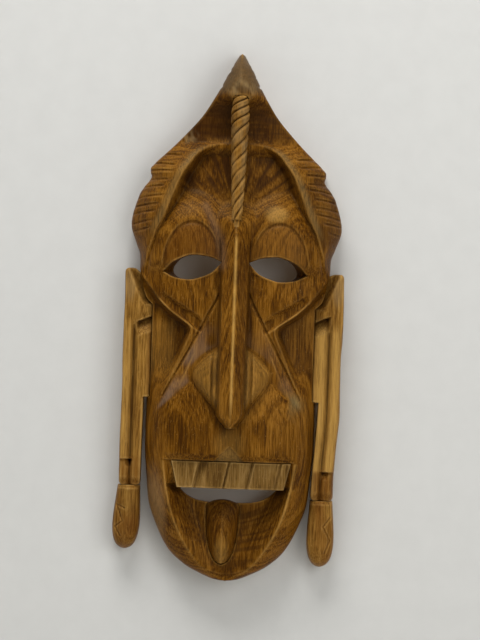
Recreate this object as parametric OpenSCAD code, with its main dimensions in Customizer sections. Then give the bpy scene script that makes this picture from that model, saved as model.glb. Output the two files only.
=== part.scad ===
/* [Head] */
// Chin to the tip of the cap
head_h = 456; // [440:1:475]
// Half width of the cap at its widest
cap_half_w = 91; // [86:0.5:96]
// Half width of the jaw beside the ears
jaw_half_w = 73; // [71.5:0.5:76]
// Height of the jaw's front edge above the wall
edge_d = 20; // [17:0.5:23]
// Wood left at the wall around the hollow
rim_w = 13; // [10:0.5:15]
// Depth of the hollow behind the cheeks
hollow_d = 27; // [22:0.5:29]

/* [Levels above the chin] */
// Top of the mouth hole and bottom of the teeth
mouth_z = 81; // [78:0.5:84]
// Tip of the nose
nose_tip_z = 134; // [130:0.5:138]
// Widest point of the nose wings
wing_z = 175; // [171:0.5:179]
// Corner where the cheek hollow meets the fold
cheek_z = 222; // [218:0.5:226]
// Outer corner of the eyes
eye_z = 268; // [264:0.5:272]
// Top of the forehead arch under the cap
arch_z = 378; // [374:0.5:382]

/* [Heights above the wall] */
// Crest of the nose near its tip
nose_d = 82; // [76:0.5:86]
// Upper lip above the teeth
lip_d = 55; // [53:0.5:58]
// Brow mounds around the eyes
brow_d = 53; // [50:0.5:56]
// Step from the brow mounds down to the eyelids
lid_step = 1.5; // [0.5:0.25:3]
// Inner rim of the cap
cap_rim_d = 47; // [43:0.5:50]
// Floor of the forehead under the cap
forehead_d = 33; // [32:0.5:36]
// Floor of the cheek hollows at their inner end
cheek_d = 36.5; // [34:0.5:39]
// Floor of the open jaw
bowl_d = 25; // [24:0.5:28]

/* [Braid] */
// Lower end of the braid above the chin
braid_low_z = 311; // [307:0.5:314]
// Upper end of the braid above the chin
braid_top_z = 418; // [414:0.5:422]
// Radius of the braid at its upper end
braid_r = 8.5; // [7.5:0.25:9.5]
// Radius of the braid at its lower end
braid_tip_r = 4; // [3.5:0.25:5]
// Radius of the tenon at each end
tenon_r = 2.5; // [2:0.25:3]
// Length of the tenon at each end
tenon_l = 6; // [4:0.5:8]

/* [Teeth and tongue] */
// Length of the row of teeth
teeth_l = 103; // [98:0.5:106]
// Height of the teeth
teeth_h = 23; // [20:0.5:25]
// Front of the teeth above the wall
teeth_d = 50; // [47:0.5:53]
// Thickness of the tooth strip
teeth_t = 12; // [10:0.5:14]
// Length of the tongue
tongue_l = 56; // [52:0.5:58]
// Half width of the tongue
tongue_half_w = 14.5; // [13:0.25:16]
// Top of the tongue above its seat
tongue_t = 19; // [16:0.5:21]

/* [Ears] */
// Half width of the face where the ears are glued on
ear_seat = 70; // [68:0.5:71]
// Outer edge of the ears from the middle
ear_out = 95; // [92:0.5:98]
// Top of the ears above the chin
ear_top_z = 268; // [264:0.5:271]
// Lower end of the glued joint above the chin
ear_joint_z = 157; // [150:0.5:164]
// Front of the ears above the wall
ear_d = 28; // [25:0.5:30]
// Back of the ears above the wall
ear_back = 2; // [1:0.25:4]
// Depth of the conch at the top of the ears
conch_h = 8; // [5:0.5:9]
// Depth of the groove along the ears
groove_h = 3.5; // [2:0.5:6]
// Slit between the ear lobes and the jaw
ear_slit = 2.5; // [2:0.25:4]
// Lower end of the left ear above the chin
left_ear_z = 80.5; // [76:0.5:84]
// Lower end of the right ear above the chin
right_ear_z = 72; // [68:0.5:76]

/* [Ear drops] */
// Length of the left drop
left_drop_l = 56; // [50:0.5:60]
// Length of the right drop
right_drop_l = 58; // [52:0.5:62]
// Width that the drops swell beyond the ear
drop_swell = 2; // [0:0.25:3]

/* [Pegs] */
// Radius of the dowels between ear and face
dowel_r = 3; // [2.5:0.25:3.5]
// Length of the dowels between ear and face
dowel_l = 20; // [16:0.5:20]
// Radius of the pegs between ear and drop
peg_r = 2.5; // [2:0.25:3]
// Length of the pegs between ear and drop
peg_l = 18; // [14:0.5:22]

/* [Hanger] */
// Hinge of the ring above the chin
ring_z = 366; // [364:0.5:367]
// Depth of the strap's seat from the wall
seat_d = 22; // [20:0.5:23]
// Sheet thickness of the strap
sheet_t = 1.2; // [1:0.1:1.5]
// Width of the strap
strap_w = 10; // [9:0.5:11]
// Length of the strap below the hinge
strap_l = 31; // [30:0.5:33]
// Radius of the ring's wire
wire_r = 1.25; // [1:0.05:1.4]
// Half width of the ring at its wire's middle
ring_half_w = 10; // [9:0.25:10.5]
// Radius of the screw shanks
screw_r = 1.25; // [1:0.05:1.4]
// Length of the screw shanks
screw_l = 9; // [7:0.5:10]

/* [Fits] */
// Gap between glued pieces
glue_gap = 0.1; // [0.05:0.05:0.2]
// Radial clearance of the ring's wire in its eye
eye_clear = 0.05; // [0.03:0.01:0.08]

/* [Hidden] */
$fn = 48;

// The wall pad behind the solid cap is the frame's origin
pad_drop = 48;
pad_z = head_h - pad_drop;
over = 1;

// Half outline of the head, as height above the chin and half width
cap_z = 306;
lobe_z = 351;
head_outline = [
    [1.5, 9], [4, 17.5], [13.5, jaw_half_w - 37], [27, jaw_half_w - 22.5], [50, jaw_half_w - 10.5],
    [68, jaw_half_w - 4.5], [86, jaw_half_w - 2.5], [118, jaw_half_w], [157, jaw_half_w],
    [190, jaw_half_w + 0.5], [220, jaw_half_w + 2], [250, jaw_half_w + 6], [eye_z, cap_half_w - 9],
    [eye_z + 11, cap_half_w - 8.5], [289, cap_half_w - 5], [cap_z, cap_half_w], [331, cap_half_w - 6],
    [342, cap_half_w - 12.5], [lobe_z, cap_half_w - 15.5], [357, cap_half_w - 18.5],
    [374, cap_half_w - 34.5], [385, 46], [400, 33], [412, 25], [head_h - 29, 16.5], [head_h - 12, 7.5],
    [head_h - 3, 2.5]];
// Inner rim of the cap around the forehead
arch_outline = [
    [264, 76], [280, 74], [298, 69], [317, 60.5], [335, 53.5], [351, 46.5], [362, 39], [arch_z - 10, 34.5],
    [arch_z - 2, 22], [arch_z, 0]];
// Edge of the open jaw
lip_z = mouth_z + teeth_h;
bowl_outline = [[5, 0], [11, 18], [31, 35], [59, 48], [mouth_z + 4, 54], [lip_z, 57], [lip_z + 0.1, 0]];

function half_w(z) = lookup(z, head_outline);
function clamp01(t) = min(1, max(0, t));
function ease(t, lo, hi) = let (s = clamp01((t - lo) / (hi - lo))) s * s * (3 - 2 * s);
function mix(a, b, t) = a + (b - a) * t;
// Smooth maximum and minimum that round a crease over the width k
function blend_max(a, b, k) = let (h = clamp01(0.5 + 0.5 * (a - b) / k)) mix(b, a, h) + k * h * (1 - h);
function blend_min(a, b, k) = -blend_max(-a, -b, k);
// Signed distance from the line p to q, positive on its left
function beside(p, q, a, z) =
    let (dx = q[0] - p[0], dz = q[1] - p[1]) (dx * (z - p[1]) - dz * (a - p[0])) / norm([dx, dz]);

// Barrel of the lower face, without its features
function cheek_base(a, z) =
    let (core = lookup(z, [[0, 28], [40, 44], [mouth_z, lip_d - 5], [lip_z, lip_d], [130, lip_d],
             [160, 52], [200, 46], [300, 46]]),
         flatness = lookup(z, [[20, 2.4], [mouth_z - 10, 4.2], [130, 4.2], [200, 2.4]]),
         t = clamp01(a / half_w(z)))
    edge_d + (core - edge_d) * pow(1 - pow(t, flatness), 0.75);

// Cap with its raised rim, and the forehead set back inside the rim
function cap_surface(a, z) =
    let (rim = z > arch_z ? 0 : lookup(z, arch_outline),
         crest = lookup(z, [[262, cap_rim_d - 13], [290, cap_rim_d - 5], [320, cap_rim_d], [350, cap_rim_d],
             [arch_z - 13, cap_rim_d - 5], [arch_z, cap_rim_d - 12], [arch_z + 8, cap_rim_d - 14],
             [braid_top_z - 18, cap_rim_d - 12], [braid_top_z - 6, cap_rim_d - 6],
             [braid_top_z + 2, cap_rim_d + 6], [braid_top_z + 8, cap_rim_d + 6],
             [head_h - 16, cap_rim_d - 2], [head_h, cap_rim_d - 20]]),
         edge = lookup(z, [[262, 22], [cap_z, 22], [lobe_z, 26], [400, 30], [braid_top_z, 38],
             [head_h - 16, 37], [head_h, 23]]),
         s = clamp01((a - rim) / max(1, half_w(z) - rim)),
         floor_d = lookup(z, [[262, 46], [300, 46], [318, 42], [330, 38], [345, forehead_d + 2],
             [360, forehead_d], [arch_z, forehead_d - 1]]),
         fore = floor_d - 5 * pow(min(1.2, a / max(8, rim)), 2))
    mix(crest - (crest - edge) * pow(s, 1.7), fore, z < arch_z ? ease(rim - a, -4, 5) : 0);

// Broad brow mound with the lid set into it
mound_at = [36, eye_z + 15];
mound_r = [36, 46];
lid_at = [37.5, eye_z + 2];
lid_r = [24.2, 39];
mound_low = 14;
function oval(at, r, a, z) = norm([(a - at[0]) / r[0], (z - at[1]) / r[1]]);
function eye_mound(a, z, h) =
    let (mound = blend_max(h, brow_d - 13 * pow(oval(mound_at, mound_r, a, z), 3), 4),
         lid = oval(lid_at, lid_r, a, z),
         on_lid = ease(1 - lid, -0.05, 0.1) * ease(z, eye_z - 2, eye_z + 2))
    z < eye_z - mound_low ? h : mound - on_lid * lid_step * lid * lid;

// Bag under the eye, and the cheek sunk below its ridge and outside the fold
ridge = [[36, cheek_z - 2.5], [54, cheek_z + 10], [65, cheek_z + 20], [73, cheek_z + 31]];
fold_drop = [65.5, 23];
fold_edge = [[61, cheek_z - fold_drop[0]], [43, cheek_z - fold_drop[1]]];
// Level of the bag, where it starts to fall back, and the heights over which bag and hollow fade downwards
bag_d = 47;
bag_z = 240;
bag_a = 40;
bag_side_a = 52;
bag_fade = [165, 212];
sunk_fade = [158, 200];
function hollow_cheek(a, z, h) =
    let (over_ridge = min([for (i = [0:2]) beside(ridge[i], ridge[i + 1], a, z)]),
         fallen = 0.1 * max(0, z - bag_z) + 0.1 * max(0, a - bag_a) + 0.012 * pow(max(0, a - bag_side_a), 2),
         bag = mix(h, bag_d - fallen, ease(z, bag_fade[0], bag_fade[1]) * ease(-z, -eye_z - 8, -eye_z + 10)),
         inside = blend_min(-over_ridge, -beside(fold_edge[0], fold_edge[1], a, z), 6),
         slope_d = cheek_d - 0.3 * max(0, a - bag_a),
         sunk = mix(min(bag, slope_d), bag, ease(-z, -sunk_fade[1], -sunk_fade[0])))
    a < 30 || z > cheek_z + 40 ? bag : mix(bag, sunk, ease(inside, -3, 6));

// Planed band of the fold that runs from the nose to the mouth corner
fold_line = [[12, 250], [15.7, 241], [59, 158.7]];
fold_end = [[59.7, 148.3], [37.4, 169.3]];
function fold_band(a, z, h) =
    let (within = min(beside(fold_line[1], fold_line[0], a, z), beside(fold_line[2], fold_line[1], a, z)),
         above_end = -beside(fold_end[0], fold_end[1], a, z),
         level = lookup(z, [[148, 42.8], [wing_z, 47], [215, 47.5], [251, 46]]))
    z > fold_line[0][1] ? h : mix(h, level, ease(within, -2, 3) * ease(above_end, -3, 3));

// Roof-shaped nose with its wings; the root opens out between the lids
root_z = braid_low_z + 14;
function nose_crest(z) = lookup(z, [[nose_tip_z - 4, nose_d - 22], [nose_tip_z, nose_d - 4],
    [nose_tip_z + 16, nose_d], [wing_z, nose_d - 3], [226, nose_d - 12], [275, nose_d - 18.5],
    [braid_low_z - 14, nose_d - 22], [braid_low_z, nose_d - 29], [root_z, nose_d - 42]]);
wing_rise = [2, 31];
wing_out = [41, wing_z + wing_rise[0]];
wing_top = [12, wing_z + wing_rise[1]];
nose_tip = [2, nose_tip_z];
wing_drop = 13;
wing_round = 10;
wing_fall = 8.5;
wing_corner = 14;
function nose_wing(a, z, h) =
    let (inside = blend_min(beside(wing_out, wing_top, a, z), beside(nose_tip, wing_out, a, z), wing_corner),
         wing = nose_crest(z) - wing_drop - 0.35 * a - wing_fall * pow(1 - clamp01(inside / wing_round), 2))
    mix(h, max(h, wing), ease(inside, -3, 2));
function nose_roof(a, z, h) =
    let (w = lookup(z, [[nose_tip_z, 1], [nose_tip_z + 12, 10], [226, 10.5], [braid_low_z - 28, 11.5],
             [braid_low_z - 14, 14], [braid_low_z, 21], [root_z, 27]]),
         slope = lookup(z, [[226, 0.75], [braid_low_z - 14, 0.95], [braid_low_z, 0.45], [root_z, 0.1]]),
         roof = nose_crest(z) - slope * a - 4 * max(0, a - w))
    z > root_z || z < nose_tip_z - 1 ? h : max(h, roof);

// Scoop of the open jaw, steep at its rim
function jaw_bowl(a, z, h) =
    let (w = z < 5 || z > lip_z ? 0 : lookup(z, bowl_outline),
         floor_d = lookup(z, [[0, bowl_d + 7], [14, bowl_d + 5], [40, bowl_d + 2.5], [mouth_z - 10, bowl_d],
             [mouth_z, bowl_d], [mouth_z + 4, lip_d - 17], [lip_z, lip_d - 11]]),
         reach = lookup(z, [[5, 10], [40, 24], [mouth_z - 10, 20], [mouth_z + 4, 6], [lip_z, 5]]),
         rise = pow(1 - clamp01((w - a) / reach), 2))
    w == 0 ? h : mix(min(h, floor_d), h, rise);

// Front of the face: height above the wall at x and z
brow_blend = 12;
function face_d(x, z) =
    let (a = abs(x),
         base = mix(cheek_base(a, z), cap_surface(a, z), ease(z, eye_z - brow_blend, eye_z + 4)),
         cheeks = fold_band(a, z, hollow_cheek(a, z, eye_mound(a, z, base))))
    jaw_bowl(a, z, nose_roof(a, z, nose_wing(a, z, cheeks)));

// Depth of the hollow behind the face, and its half width
chin_wall = 14;
cap_wall = 14;
hollow_low_z = chin_wall;
hollow_top_z = arch_z + cap_wall;
// Channel behind the nose: depth, half width and the heights where it starts and ends
channel_d = 20;
channel_w = 14;
channel_z = [nose_tip_z - 4, nose_tip_z + 16];
channel_end = [260, 290];
seat_low_z = ring_z - strap_l - 3;
function hollow_w(z) = half_w(z) - rim_w;
function hollow_depth(x, z) =
    let (t = clamp01(abs(x) / hollow_w(z)),
         d = lookup(z, [[hollow_low_z, 5], [30, 13], [60, bowl_d - 9], [mouth_z + 9, bowl_d - 7],
             [lip_z + 6, hollow_d], [300, hollow_d], [seat_low_z - 6, hollow_d - 2],
             [seat_low_z, seat_d - 1.5], [ring_z - 10, seat_d - 2], [arch_z, seat_d - 6],
             [hollow_top_z, 8]]),
         nose = channel_d * exp(-pow(x / channel_w, 2)) * ease(z, channel_z[0], channel_z[1])
             * ease(-z, -channel_end[1], -channel_end[0]))
    (d + nose) * (1 - pow(t, 4)) + 1;

// Solid between a flat back and a carved front, over rows of heights z
module slab(rows, cols, low_x, high_x, front, back = 0) {
    n = len(rows);
    k = cols + 3;
    points = [for (z = rows) let (lo = low_x(z), hi = high_x(z)) each [
        for (i = [0:cols]) let (x = mix(lo, hi, i / cols)) [x, -front(x, z), z],
        [hi, -back, z],
        [lo, -back, z]]];
    sides = [for (j = [0:n - 2]) for (i = [0:k - 1]) let (
        a = j * k + i, b = j * k + (i + 1) % k, c = a + k, d = b + k)
        each i == cols + 1 ? [[a, c, d, b]] : [[a, c, b], [b, c, d]]];
    last = (n - 1) * k;
    ends = [for (i = [0:cols]) each [
        [cols + 2, i, i + 1],
        [last + cols + 2, last + i + 1, last + i]]];
    polyhedron(points, concat(sides, ends));
}

// Heights from low to high in equal steps of about the given size
row_step = 5.6;
function steps(low, high, size) =
    let (n = ceil((high - low) / size)) [for (i = [0:n]) mix(low, high, i / n)];

// Puts a shape that is measured from the chin into the frame of the wall pad
module hung() {
    translate([0, 0, -pad_z]) children();
}

// Cylinder along X, Y or Z from a point, towards the positive side
module rod_x(p, r, l) {
    translate(p) rotate([0, 90, 0]) cylinder(r = r, h = l);
}
module rod_y(p, r, l) {
    translate(p) rotate([-90, 0, 0]) cylinder(r = r, h = l);
}

// Almond eye hole on the side s
eye_in = [11, eye_z + 7];
eye_out = [52.5, eye_z];
module eye_hole(s) {
    rise = function(t) 9 * pow(sin(180 * pow(t, 1.1)), 0.7);
    sink = function(t) 12 * pow(sin(180 * pow(t, 1.25)), 0.9);
    upper = [for (i = [0:8]) mix(eye_in, eye_out, i / 8) + [0, rise(i / 8)]];
    lower = [for (i = [7:-1:1]) mix(eye_in, eye_out, i / 8) - [0, sink(i / 8)]];
    scale_x = [[s, 0], [0, 1]];
    rotate([90, 0, 0]) linear_extrude(brow_d + 20) polygon(concat(upper, lower) * scale_x);
}

// Crescent mouth hole below the teeth
mouth_half_w = 43;
module mouth_hole() {
    sag = 13;
    low_edge = [for (t = steps(-1, 1, 0.15)) [mouth_half_w * t, mouth_z - sag * (1 - pow(abs(t), 4))]];
    rotate([90, 0, 0]) linear_extrude(nose_d) polygon(low_edge);
}

// Block that the teeth fill up to the given height above the wall, with a gap to the lip
teeth_x = 2;
teeth_bow_r = 330;
module teeth_block(front_d, gap) {
    translate([teeth_x - teeth_l / 2 + gap, -front_d, mouth_z])
        cube([teeth_l - 2 * gap, front_d - teeth_d + teeth_t - gap, teeth_h - gap]);
}

// Tongue seat: a flat floor cut into the jaw, as wide as the tongue at its back
tongue_x = -4;
tongue_top_z = 71;
tongue_low_z = tongue_top_z - tongue_l;
tongue_seat_d = bowl_d - 2;
tongue_rows = steps(tongue_low_z + 0.4, tongue_top_z, 4);
function tongue_share(z) = (z - tongue_low_z) / tongue_l;
function tongue_w(z) = tongue_half_w * pow(1 - pow(1 - tongue_share(z), 2.6), 0.45);
module tongue_plan() {
    left_side = [for (z = tongue_rows) [tongue_x - tongue_w(z), z]];
    right_side = [for (i = [len(tongue_rows) - 1:-1:0]) [2 * tongue_x - left_side[i][0], tongue_rows[i]]];
    tip = [tongue_x, tongue_low_z - over];
    polygon(concat(left_side, right_side, [tip]));
}

// Braid axis, straight from the cap to the nose root
braid_low = [0, -(nose_d - 29), braid_low_z];
braid_top = [0, -(cap_rim_d - 1), braid_top_z];
braid_len = norm(braid_top - braid_low);
braid_tilt = atan2(braid_low[1] - braid_top[1], braid_top_z - braid_low_z);
module along_braid() {
    translate(braid_low) rotate([braid_tilt, 0, 0]) children();
}
function braid_girth(t) = mix(braid_tip_r, braid_r, pow(t, 0.7));
// Space that the braid takes out of the face, with its tenon holes
module braid_seat() {
    side = [for (t = steps(0, 1, 0.04)) [braid_girth(t) + glue_gap, t * braid_len]];
    rotate_extrude() polygon(concat([[0, 0]], side, [[0, braid_len]]));
    translate([0, 0, -tenon_l]) cylinder(r = tenon_r + glue_gap / 2, h = braid_len + 2 * tenon_l);
}

// Places of the dowels and pegs
dowel_zs = [ear_joint_z + 24, ear_top_z - 24];
dowel_d = 13;
drop_lean = 2.5;
function ear_lean(s, z) = (s < 0 ? 0.5 : -4) * ease(-z, -ear_joint_z, -right_ear_z);
function ear_low_z(s) = s < 0 ? left_ear_z : right_ear_z;
function ear_glued(z) = z > ear_joint_z + 1.5 * glue_gap;
function ear_inner(s, z) = (ear_glued(z) ? ear_seat + glue_gap : jaw_half_w + ear_slit) + ear_lean(s, z);
function ear_outer(s, z) = ear_out + ear_lean(s, z);
function ear_mid(s) = (ear_inner(s, ear_low_z(s)) + ear_outer(s, ear_low_z(s))) / 2;
peg_d = (ear_d + ear_back) / 2 - 1.5;
// Dowels and pegs, or their bores with no gap
module dowel_rods(s, gap) {
    for (z = dowel_zs)
        rod_x([s * ear_seat - dowel_l / 2 + gap, -dowel_d, z], dowel_r - gap / 2, dowel_l - 2 * gap);
}
module peg_rod(s, gap) {
    translate([s * ear_mid(s), -peg_d, ear_low_z(s) - peg_l / 2 + gap])
        cylinder(r = peg_r - gap / 2, h = peg_l - 2 * gap);
}
screw_gap = 6;
screw_zs = [ring_z - ring_half_w - screw_gap, ring_z - strap_l + screw_gap - 1];
seat_half_w = ring_half_w + wire_r + 3;

module face() {
    color("peru") hung() difference() {
        slab(steps(head_outline[0][0], head_h - 3, row_step), 54, function(z) -half_w(z),
            function(z) half_w(z), function(x, z) face_d(x, z));
        translate([0, over, 0])
            slab(steps(hollow_low_z, hollow_top_z, 2 * row_step), 18, function(z) -hollow_w(z),
                function(z) hollow_w(z), function(x, z) hollow_depth(x, z));
        for (s = [-1, 1]) {
            eye_hole(s);
            translate([s > 0 ? ear_seat : -ear_seat - ear_out, -nose_d, ear_joint_z])
                cube([ear_out, nose_d + over, ear_top_z - ear_joint_z + glue_gap]);
            dowel_rods(s, 0);
        }
        mouth_hole();
        teeth_block(nose_d, 0);
        translate([0, -tongue_seat_d, 0]) rotate([90, 0, 0]) linear_extrude(nose_d) tongue_plan();
        along_braid() braid_seat();
        translate([-seat_half_w, -seat_d, seat_low_z])
            cube([2 * seat_half_w, seat_d + over, ring_z + seat_half_w - seat_low_z]);
        for (z = screw_zs) rod_y([0, -seat_d - screw_l, z], screw_r, screw_l + over);
    }
}

// Twisted braid that tapers to its lower end
module forehead_braid() {
    turns = 4.5;
    sides = 20;
    rings = 46;
    points = [for (j = [0:rings]) let (t = j / rings, r = braid_girth(t))
        for (i = [0:sides - 1]) let (q = 360 * i / sides, g = pow(abs(sin(q - 360 * turns * t)), 0.5),
            rr = r * (0.86 + 0.14 * g))
        [rr * cos(q), rr * sin(q), glue_gap + t * (braid_len - 2 * glue_gap)]];
    faces = [for (j = [0:rings - 1]) for (i = [0:sides - 1]) let (
        a = j * sides + i, b = j * sides + (i + 1) % sides)
        each [[a, a + sides, b], [b, a + sides, b + sides]]];
    ends = [[for (i = [0:sides - 1]) i], [for (i = [sides - 1:-1:0]) rings * sides + i]];
    color("burlywood") hung() along_braid() {
        polyhedron(points, concat(faces, ends));
        translate([0, 0, glue_gap - tenon_l]) cylinder(r = tenon_r, h = tenon_l + over);
        translate([0, 0, braid_len - over]) cylinder(r = tenon_r, h = tenon_l + over - glue_gap);
    }
}

// Strip of five teeth, parted by leaning cuts from the front
module upper_teeth() {
    cuts = [-26.5, -2, 18.5, 43];
    cut_w = 3;
    cut_lean = 11;
    cut_l = 2 * teeth_h;
    color("tan") hung() difference() {
        intersection() {
            teeth_block(teeth_d, glue_gap);
            translate([teeth_x, teeth_bow_r - teeth_d, mouth_z - over])
                cylinder(r = teeth_bow_r, h = teeth_h + 2 * over, $fn = 200);
        }
        for (x = cuts) translate([x, -teeth_d, mouth_z + teeth_h / 2])
            rotate([0, cut_lean, 0]) rotate([0, 0, 45]) cube([cut_w, cut_w, cut_l], center = true);
    }
}

module tongue() {
    lip = 2;
    crown = function(x, z) let (s = clamp01(abs(x - tongue_x) / tongue_w(z)),
        along = pow(sin(150 * pow(tongue_share(z), 0.7) + 20), 0.7),
        across = pow(1 - 0.75 * s * s, 0.5) * (1 - 0.25 * s))
        tongue_seat_d + lip + (tongue_t - lip) * along * across;
    color("sienna") hung()
        slab(tongue_rows, 14, function(z) tongue_x - tongue_w(z) + glue_gap,
            function(z) tongue_x + tongue_w(z) - glue_gap, crown, tongue_seat_d + glue_gap);
}

// Long ear board: outer strip, groove and inner strip below a hollowed conch and a scooped notch
groove_p = ear_out - 10;
conch_edge = [[ear_seat + 1, ear_top_z - 30], [ear_out - 2, ear_top_z + 1]];
notch_drop = [60, 34];
notch_z = [ear_top_z - notch_drop[0], ear_top_z - notch_drop[1]];
step_l = 23;
module ear(s) {
    low = ear_low_z(s);
    fluted = function(x, z) let (
        p = abs(x) - ear_lean(s, z),
        w = (abs(x) - ear_inner(s, z)) / (ear_outer(s, z) - ear_inner(s, z)),
        along = ease(notch_z[0] - z, -14, 0) * ease(z - low, step_l - 3, step_l + 3),
        groove = groove_h * exp(-pow((p - groove_p) / 2.6, 2)) * along,
        conch = conch_h * ease(beside(conch_edge[0], conch_edge[1], p, z), -2, 6),
        notch = conch_h * ease(groove_p - 4 - p, -1.5, 3) * ease(z, notch_z[0], notch_z[0] + 10)
            * ease(notch_z[1] - z, -2, 3),
        step = 2.2 * ease(p, groove_p - 4, groove_p + 1) * ease(low + step_l - z, -2, 2))
        ear_d - groove - max(conch, notch) - step - 4 * pow(abs(2 * w - 1), 6);
    rows = concat(steps(low, ear_joint_z + glue_gap, 8), steps(ear_joint_z + 2 * glue_gap, ear_top_z, 6));
    color("goldenrod") hung() difference() {
        if (s > 0)
            slab(rows, 14, function(z) ear_inner(s, z), function(z) ear_outer(s, z), fluted, ear_back);
        else
            slab(rows, 14, function(z) -ear_outer(s, z), function(z) -ear_inner(s, z), fluted, ear_back);
        dowel_rods(s, 0);
        peg_rod(s, 0);
    }
}

// Drop below the ear, swelling and then rounded at its end
module drop(s) {
    len = s < 0 ? left_drop_l : right_drop_l;
    top = ear_low_z(s) - glue_gap;
    half = (ear_outer(s, ear_low_z(s)) - ear_inner(s, ear_low_z(s))) / 2;
    share = function(z) (top - z) / len;
    lean = function(z) (s < 0 ? drop_lean : 0) * share(z);
    rounded = function(t) pow(max(0, 1 - pow(t, 6)), 0.5);
    wide = function(z) (half + drop_swell * sin(180 * min(1, share(z) * 1.1))) * rounded(share(z));
    facets = function(x, z) let (w = abs(abs(x) - ear_mid(s) - lean(z)) / max(1, wide(z)))
        mix(ear_back + 3, ear_d, (1 - 0.35 * w) * rounded(share(z)));
    color("goldenrod") hung() difference() {
        slab(steps(top - 0.985 * len, top, 4), 12, function(z) s * (ear_mid(s) + lean(z)) - wide(z),
            function(z) s * (ear_mid(s) + lean(z)) + wide(z), facets, ear_back);
        peg_rod(s, 0);
    }
}
module left_ear() ear(-1);
module right_ear() ear(1);
module left_ear_drop() drop(-1);
module right_ear_drop() drop(1);

module ear_dowels() {
    color("wheat") hung() for (s = [-1, 1]) dowel_rods(s, glue_gap);
}

module drop_pegs() {
    color("wheat") hung() for (s = [-1, 1]) peg_rod(s, glue_gap);
}

// Ring hanger in the hollow: strap with a rolled eye, ring and two screws
bore_r = wire_r + eye_clear;
barrel_r = bore_r + sheet_t;
ring_y = -seat_d + barrel_r + 0.4;
barrel_w = strap_w - 2;
head_r = 2.8;
head_t = 1.6;
module hanger_strap() {
    color("silver") hung() difference() {
        union() {
            translate([-strap_w / 2, -seat_d, ring_z - strap_l]) cube([strap_w, sheet_t, strap_l]);
            rod_x([-barrel_w / 2, ring_y, ring_z], barrel_r, barrel_w);
        }
        rod_x([-strap_w, ring_y, ring_z], bore_r, 2 * strap_w);
        for (z = screw_zs) rod_y([0, -seat_d - over, z], screw_r + glue_gap, sheet_t + 2 * over);
    }
}

module hanger_ring() {
    color("silver") hung() translate([0, ring_y, ring_z]) {
        rod_x([-ring_half_w, 0, 0], wire_r, 2 * ring_half_w);
        rotate([90, 0, 0]) rotate([0, 0, 180]) rotate_extrude(angle = 180)
            translate([ring_half_w, 0]) circle(wire_r);
        for (s = [-1, 1]) translate([s * ring_half_w, 0, 0]) sphere(wire_r);
    }
}

module hanger_screws() {
    color("silver") hung() for (z = screw_zs) {
        rod_y([0, -seat_d - screw_l + glue_gap, z], screw_r - glue_gap / 2, screw_l + sheet_t);
        rod_y([0, -seat_d + sheet_t + glue_gap / 2, z], head_r, head_t);
    }
}

face();
forehead_braid();
upper_teeth();
tongue();
left_ear();
right_ear();
left_ear_drop();
right_ear_drop();
ear_dowels();
drop_pegs();
hanger_strap();
hanger_ring();
hanger_screws();
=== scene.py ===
"""Looks of the carved mask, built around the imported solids. Lengths are millimetres until a mesh is made."""
import math
from functools import partial, reduce

import bpy
import numpy as np
import openvdb
from mathutils import Matrix, Vector


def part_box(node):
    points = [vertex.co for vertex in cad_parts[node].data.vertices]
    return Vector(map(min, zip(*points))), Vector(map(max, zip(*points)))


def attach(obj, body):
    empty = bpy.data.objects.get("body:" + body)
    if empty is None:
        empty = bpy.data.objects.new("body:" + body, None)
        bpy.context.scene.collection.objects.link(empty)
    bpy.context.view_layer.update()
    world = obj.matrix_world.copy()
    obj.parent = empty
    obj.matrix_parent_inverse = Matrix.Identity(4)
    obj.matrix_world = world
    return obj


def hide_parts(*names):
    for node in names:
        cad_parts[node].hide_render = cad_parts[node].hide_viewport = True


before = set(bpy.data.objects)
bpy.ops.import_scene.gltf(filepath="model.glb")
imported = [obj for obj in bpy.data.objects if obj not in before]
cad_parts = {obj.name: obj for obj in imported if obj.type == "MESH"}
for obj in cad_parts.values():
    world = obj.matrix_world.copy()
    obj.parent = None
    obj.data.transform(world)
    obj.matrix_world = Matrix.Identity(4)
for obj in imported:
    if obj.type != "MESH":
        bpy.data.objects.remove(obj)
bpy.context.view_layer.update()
GLUE_GAP = 0.1
SIDES = {-1: "left", 1: "right"}

# The shapes are drawn for this height from chin to tip; the solid is cut short by a little at both ends
HEAD_H = 456
CHIN_CUT = 1.5
TIP_CUT = 3
FACE_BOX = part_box("face")
MM = (HEAD_H - CHIN_CUT - TIP_CUT) / (FACE_BOX[1].z - FACE_BOX[0].z)
CHIN = FACE_BOX[0].z * MM - CHIN_CUT


def box_mm(node):
    """Lowest and highest corner of a solid, as x, height above the wall and height above the chin."""
    low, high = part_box(node)
    return (np.array([low.x * MM, -high.y * MM, low.z * MM - CHIN]),
            np.array([high.x * MM, -low.y * MM, high.z * MM - CHIN]))


# Corners of the solids that other places follow from
FACE_LOW, FACE_HIGH = box_mm("face")
TEETH_LOW, TEETH_HIGH = box_mm("upper_teeth")
TONGUE_LOW, TONGUE_HIGH = box_mm("tongue")
EAR_LOW, EAR_HIGH = box_mm("right_ear")
RING_LOW, RING_HIGH = box_mm("hanger_ring")
STRAP_LOW, STRAP_HIGH = box_mm("hanger_strap")

# Levels above the chin
MOUTH_Z = TEETH_LOW[2]
LIP_Z = TEETH_HIGH[2] + GLUE_GAP
NOSE_TIP_Z = 134
EAR_JOINT_Z = 157
WING_Z = 175
NOSE_MID_Z = 226
FOLD_TOP_Z = 251
EYE_Z = 268
EAR_TOP_Z = EAR_HIGH[2]
NOSE_ROOT_Z = 297
CAP_Z = 306
BRAID_LOW_Z = 311
NOSE_END_Z = 325
ARCH_Z = 378
BRAID_TOP_Z = 418

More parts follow.
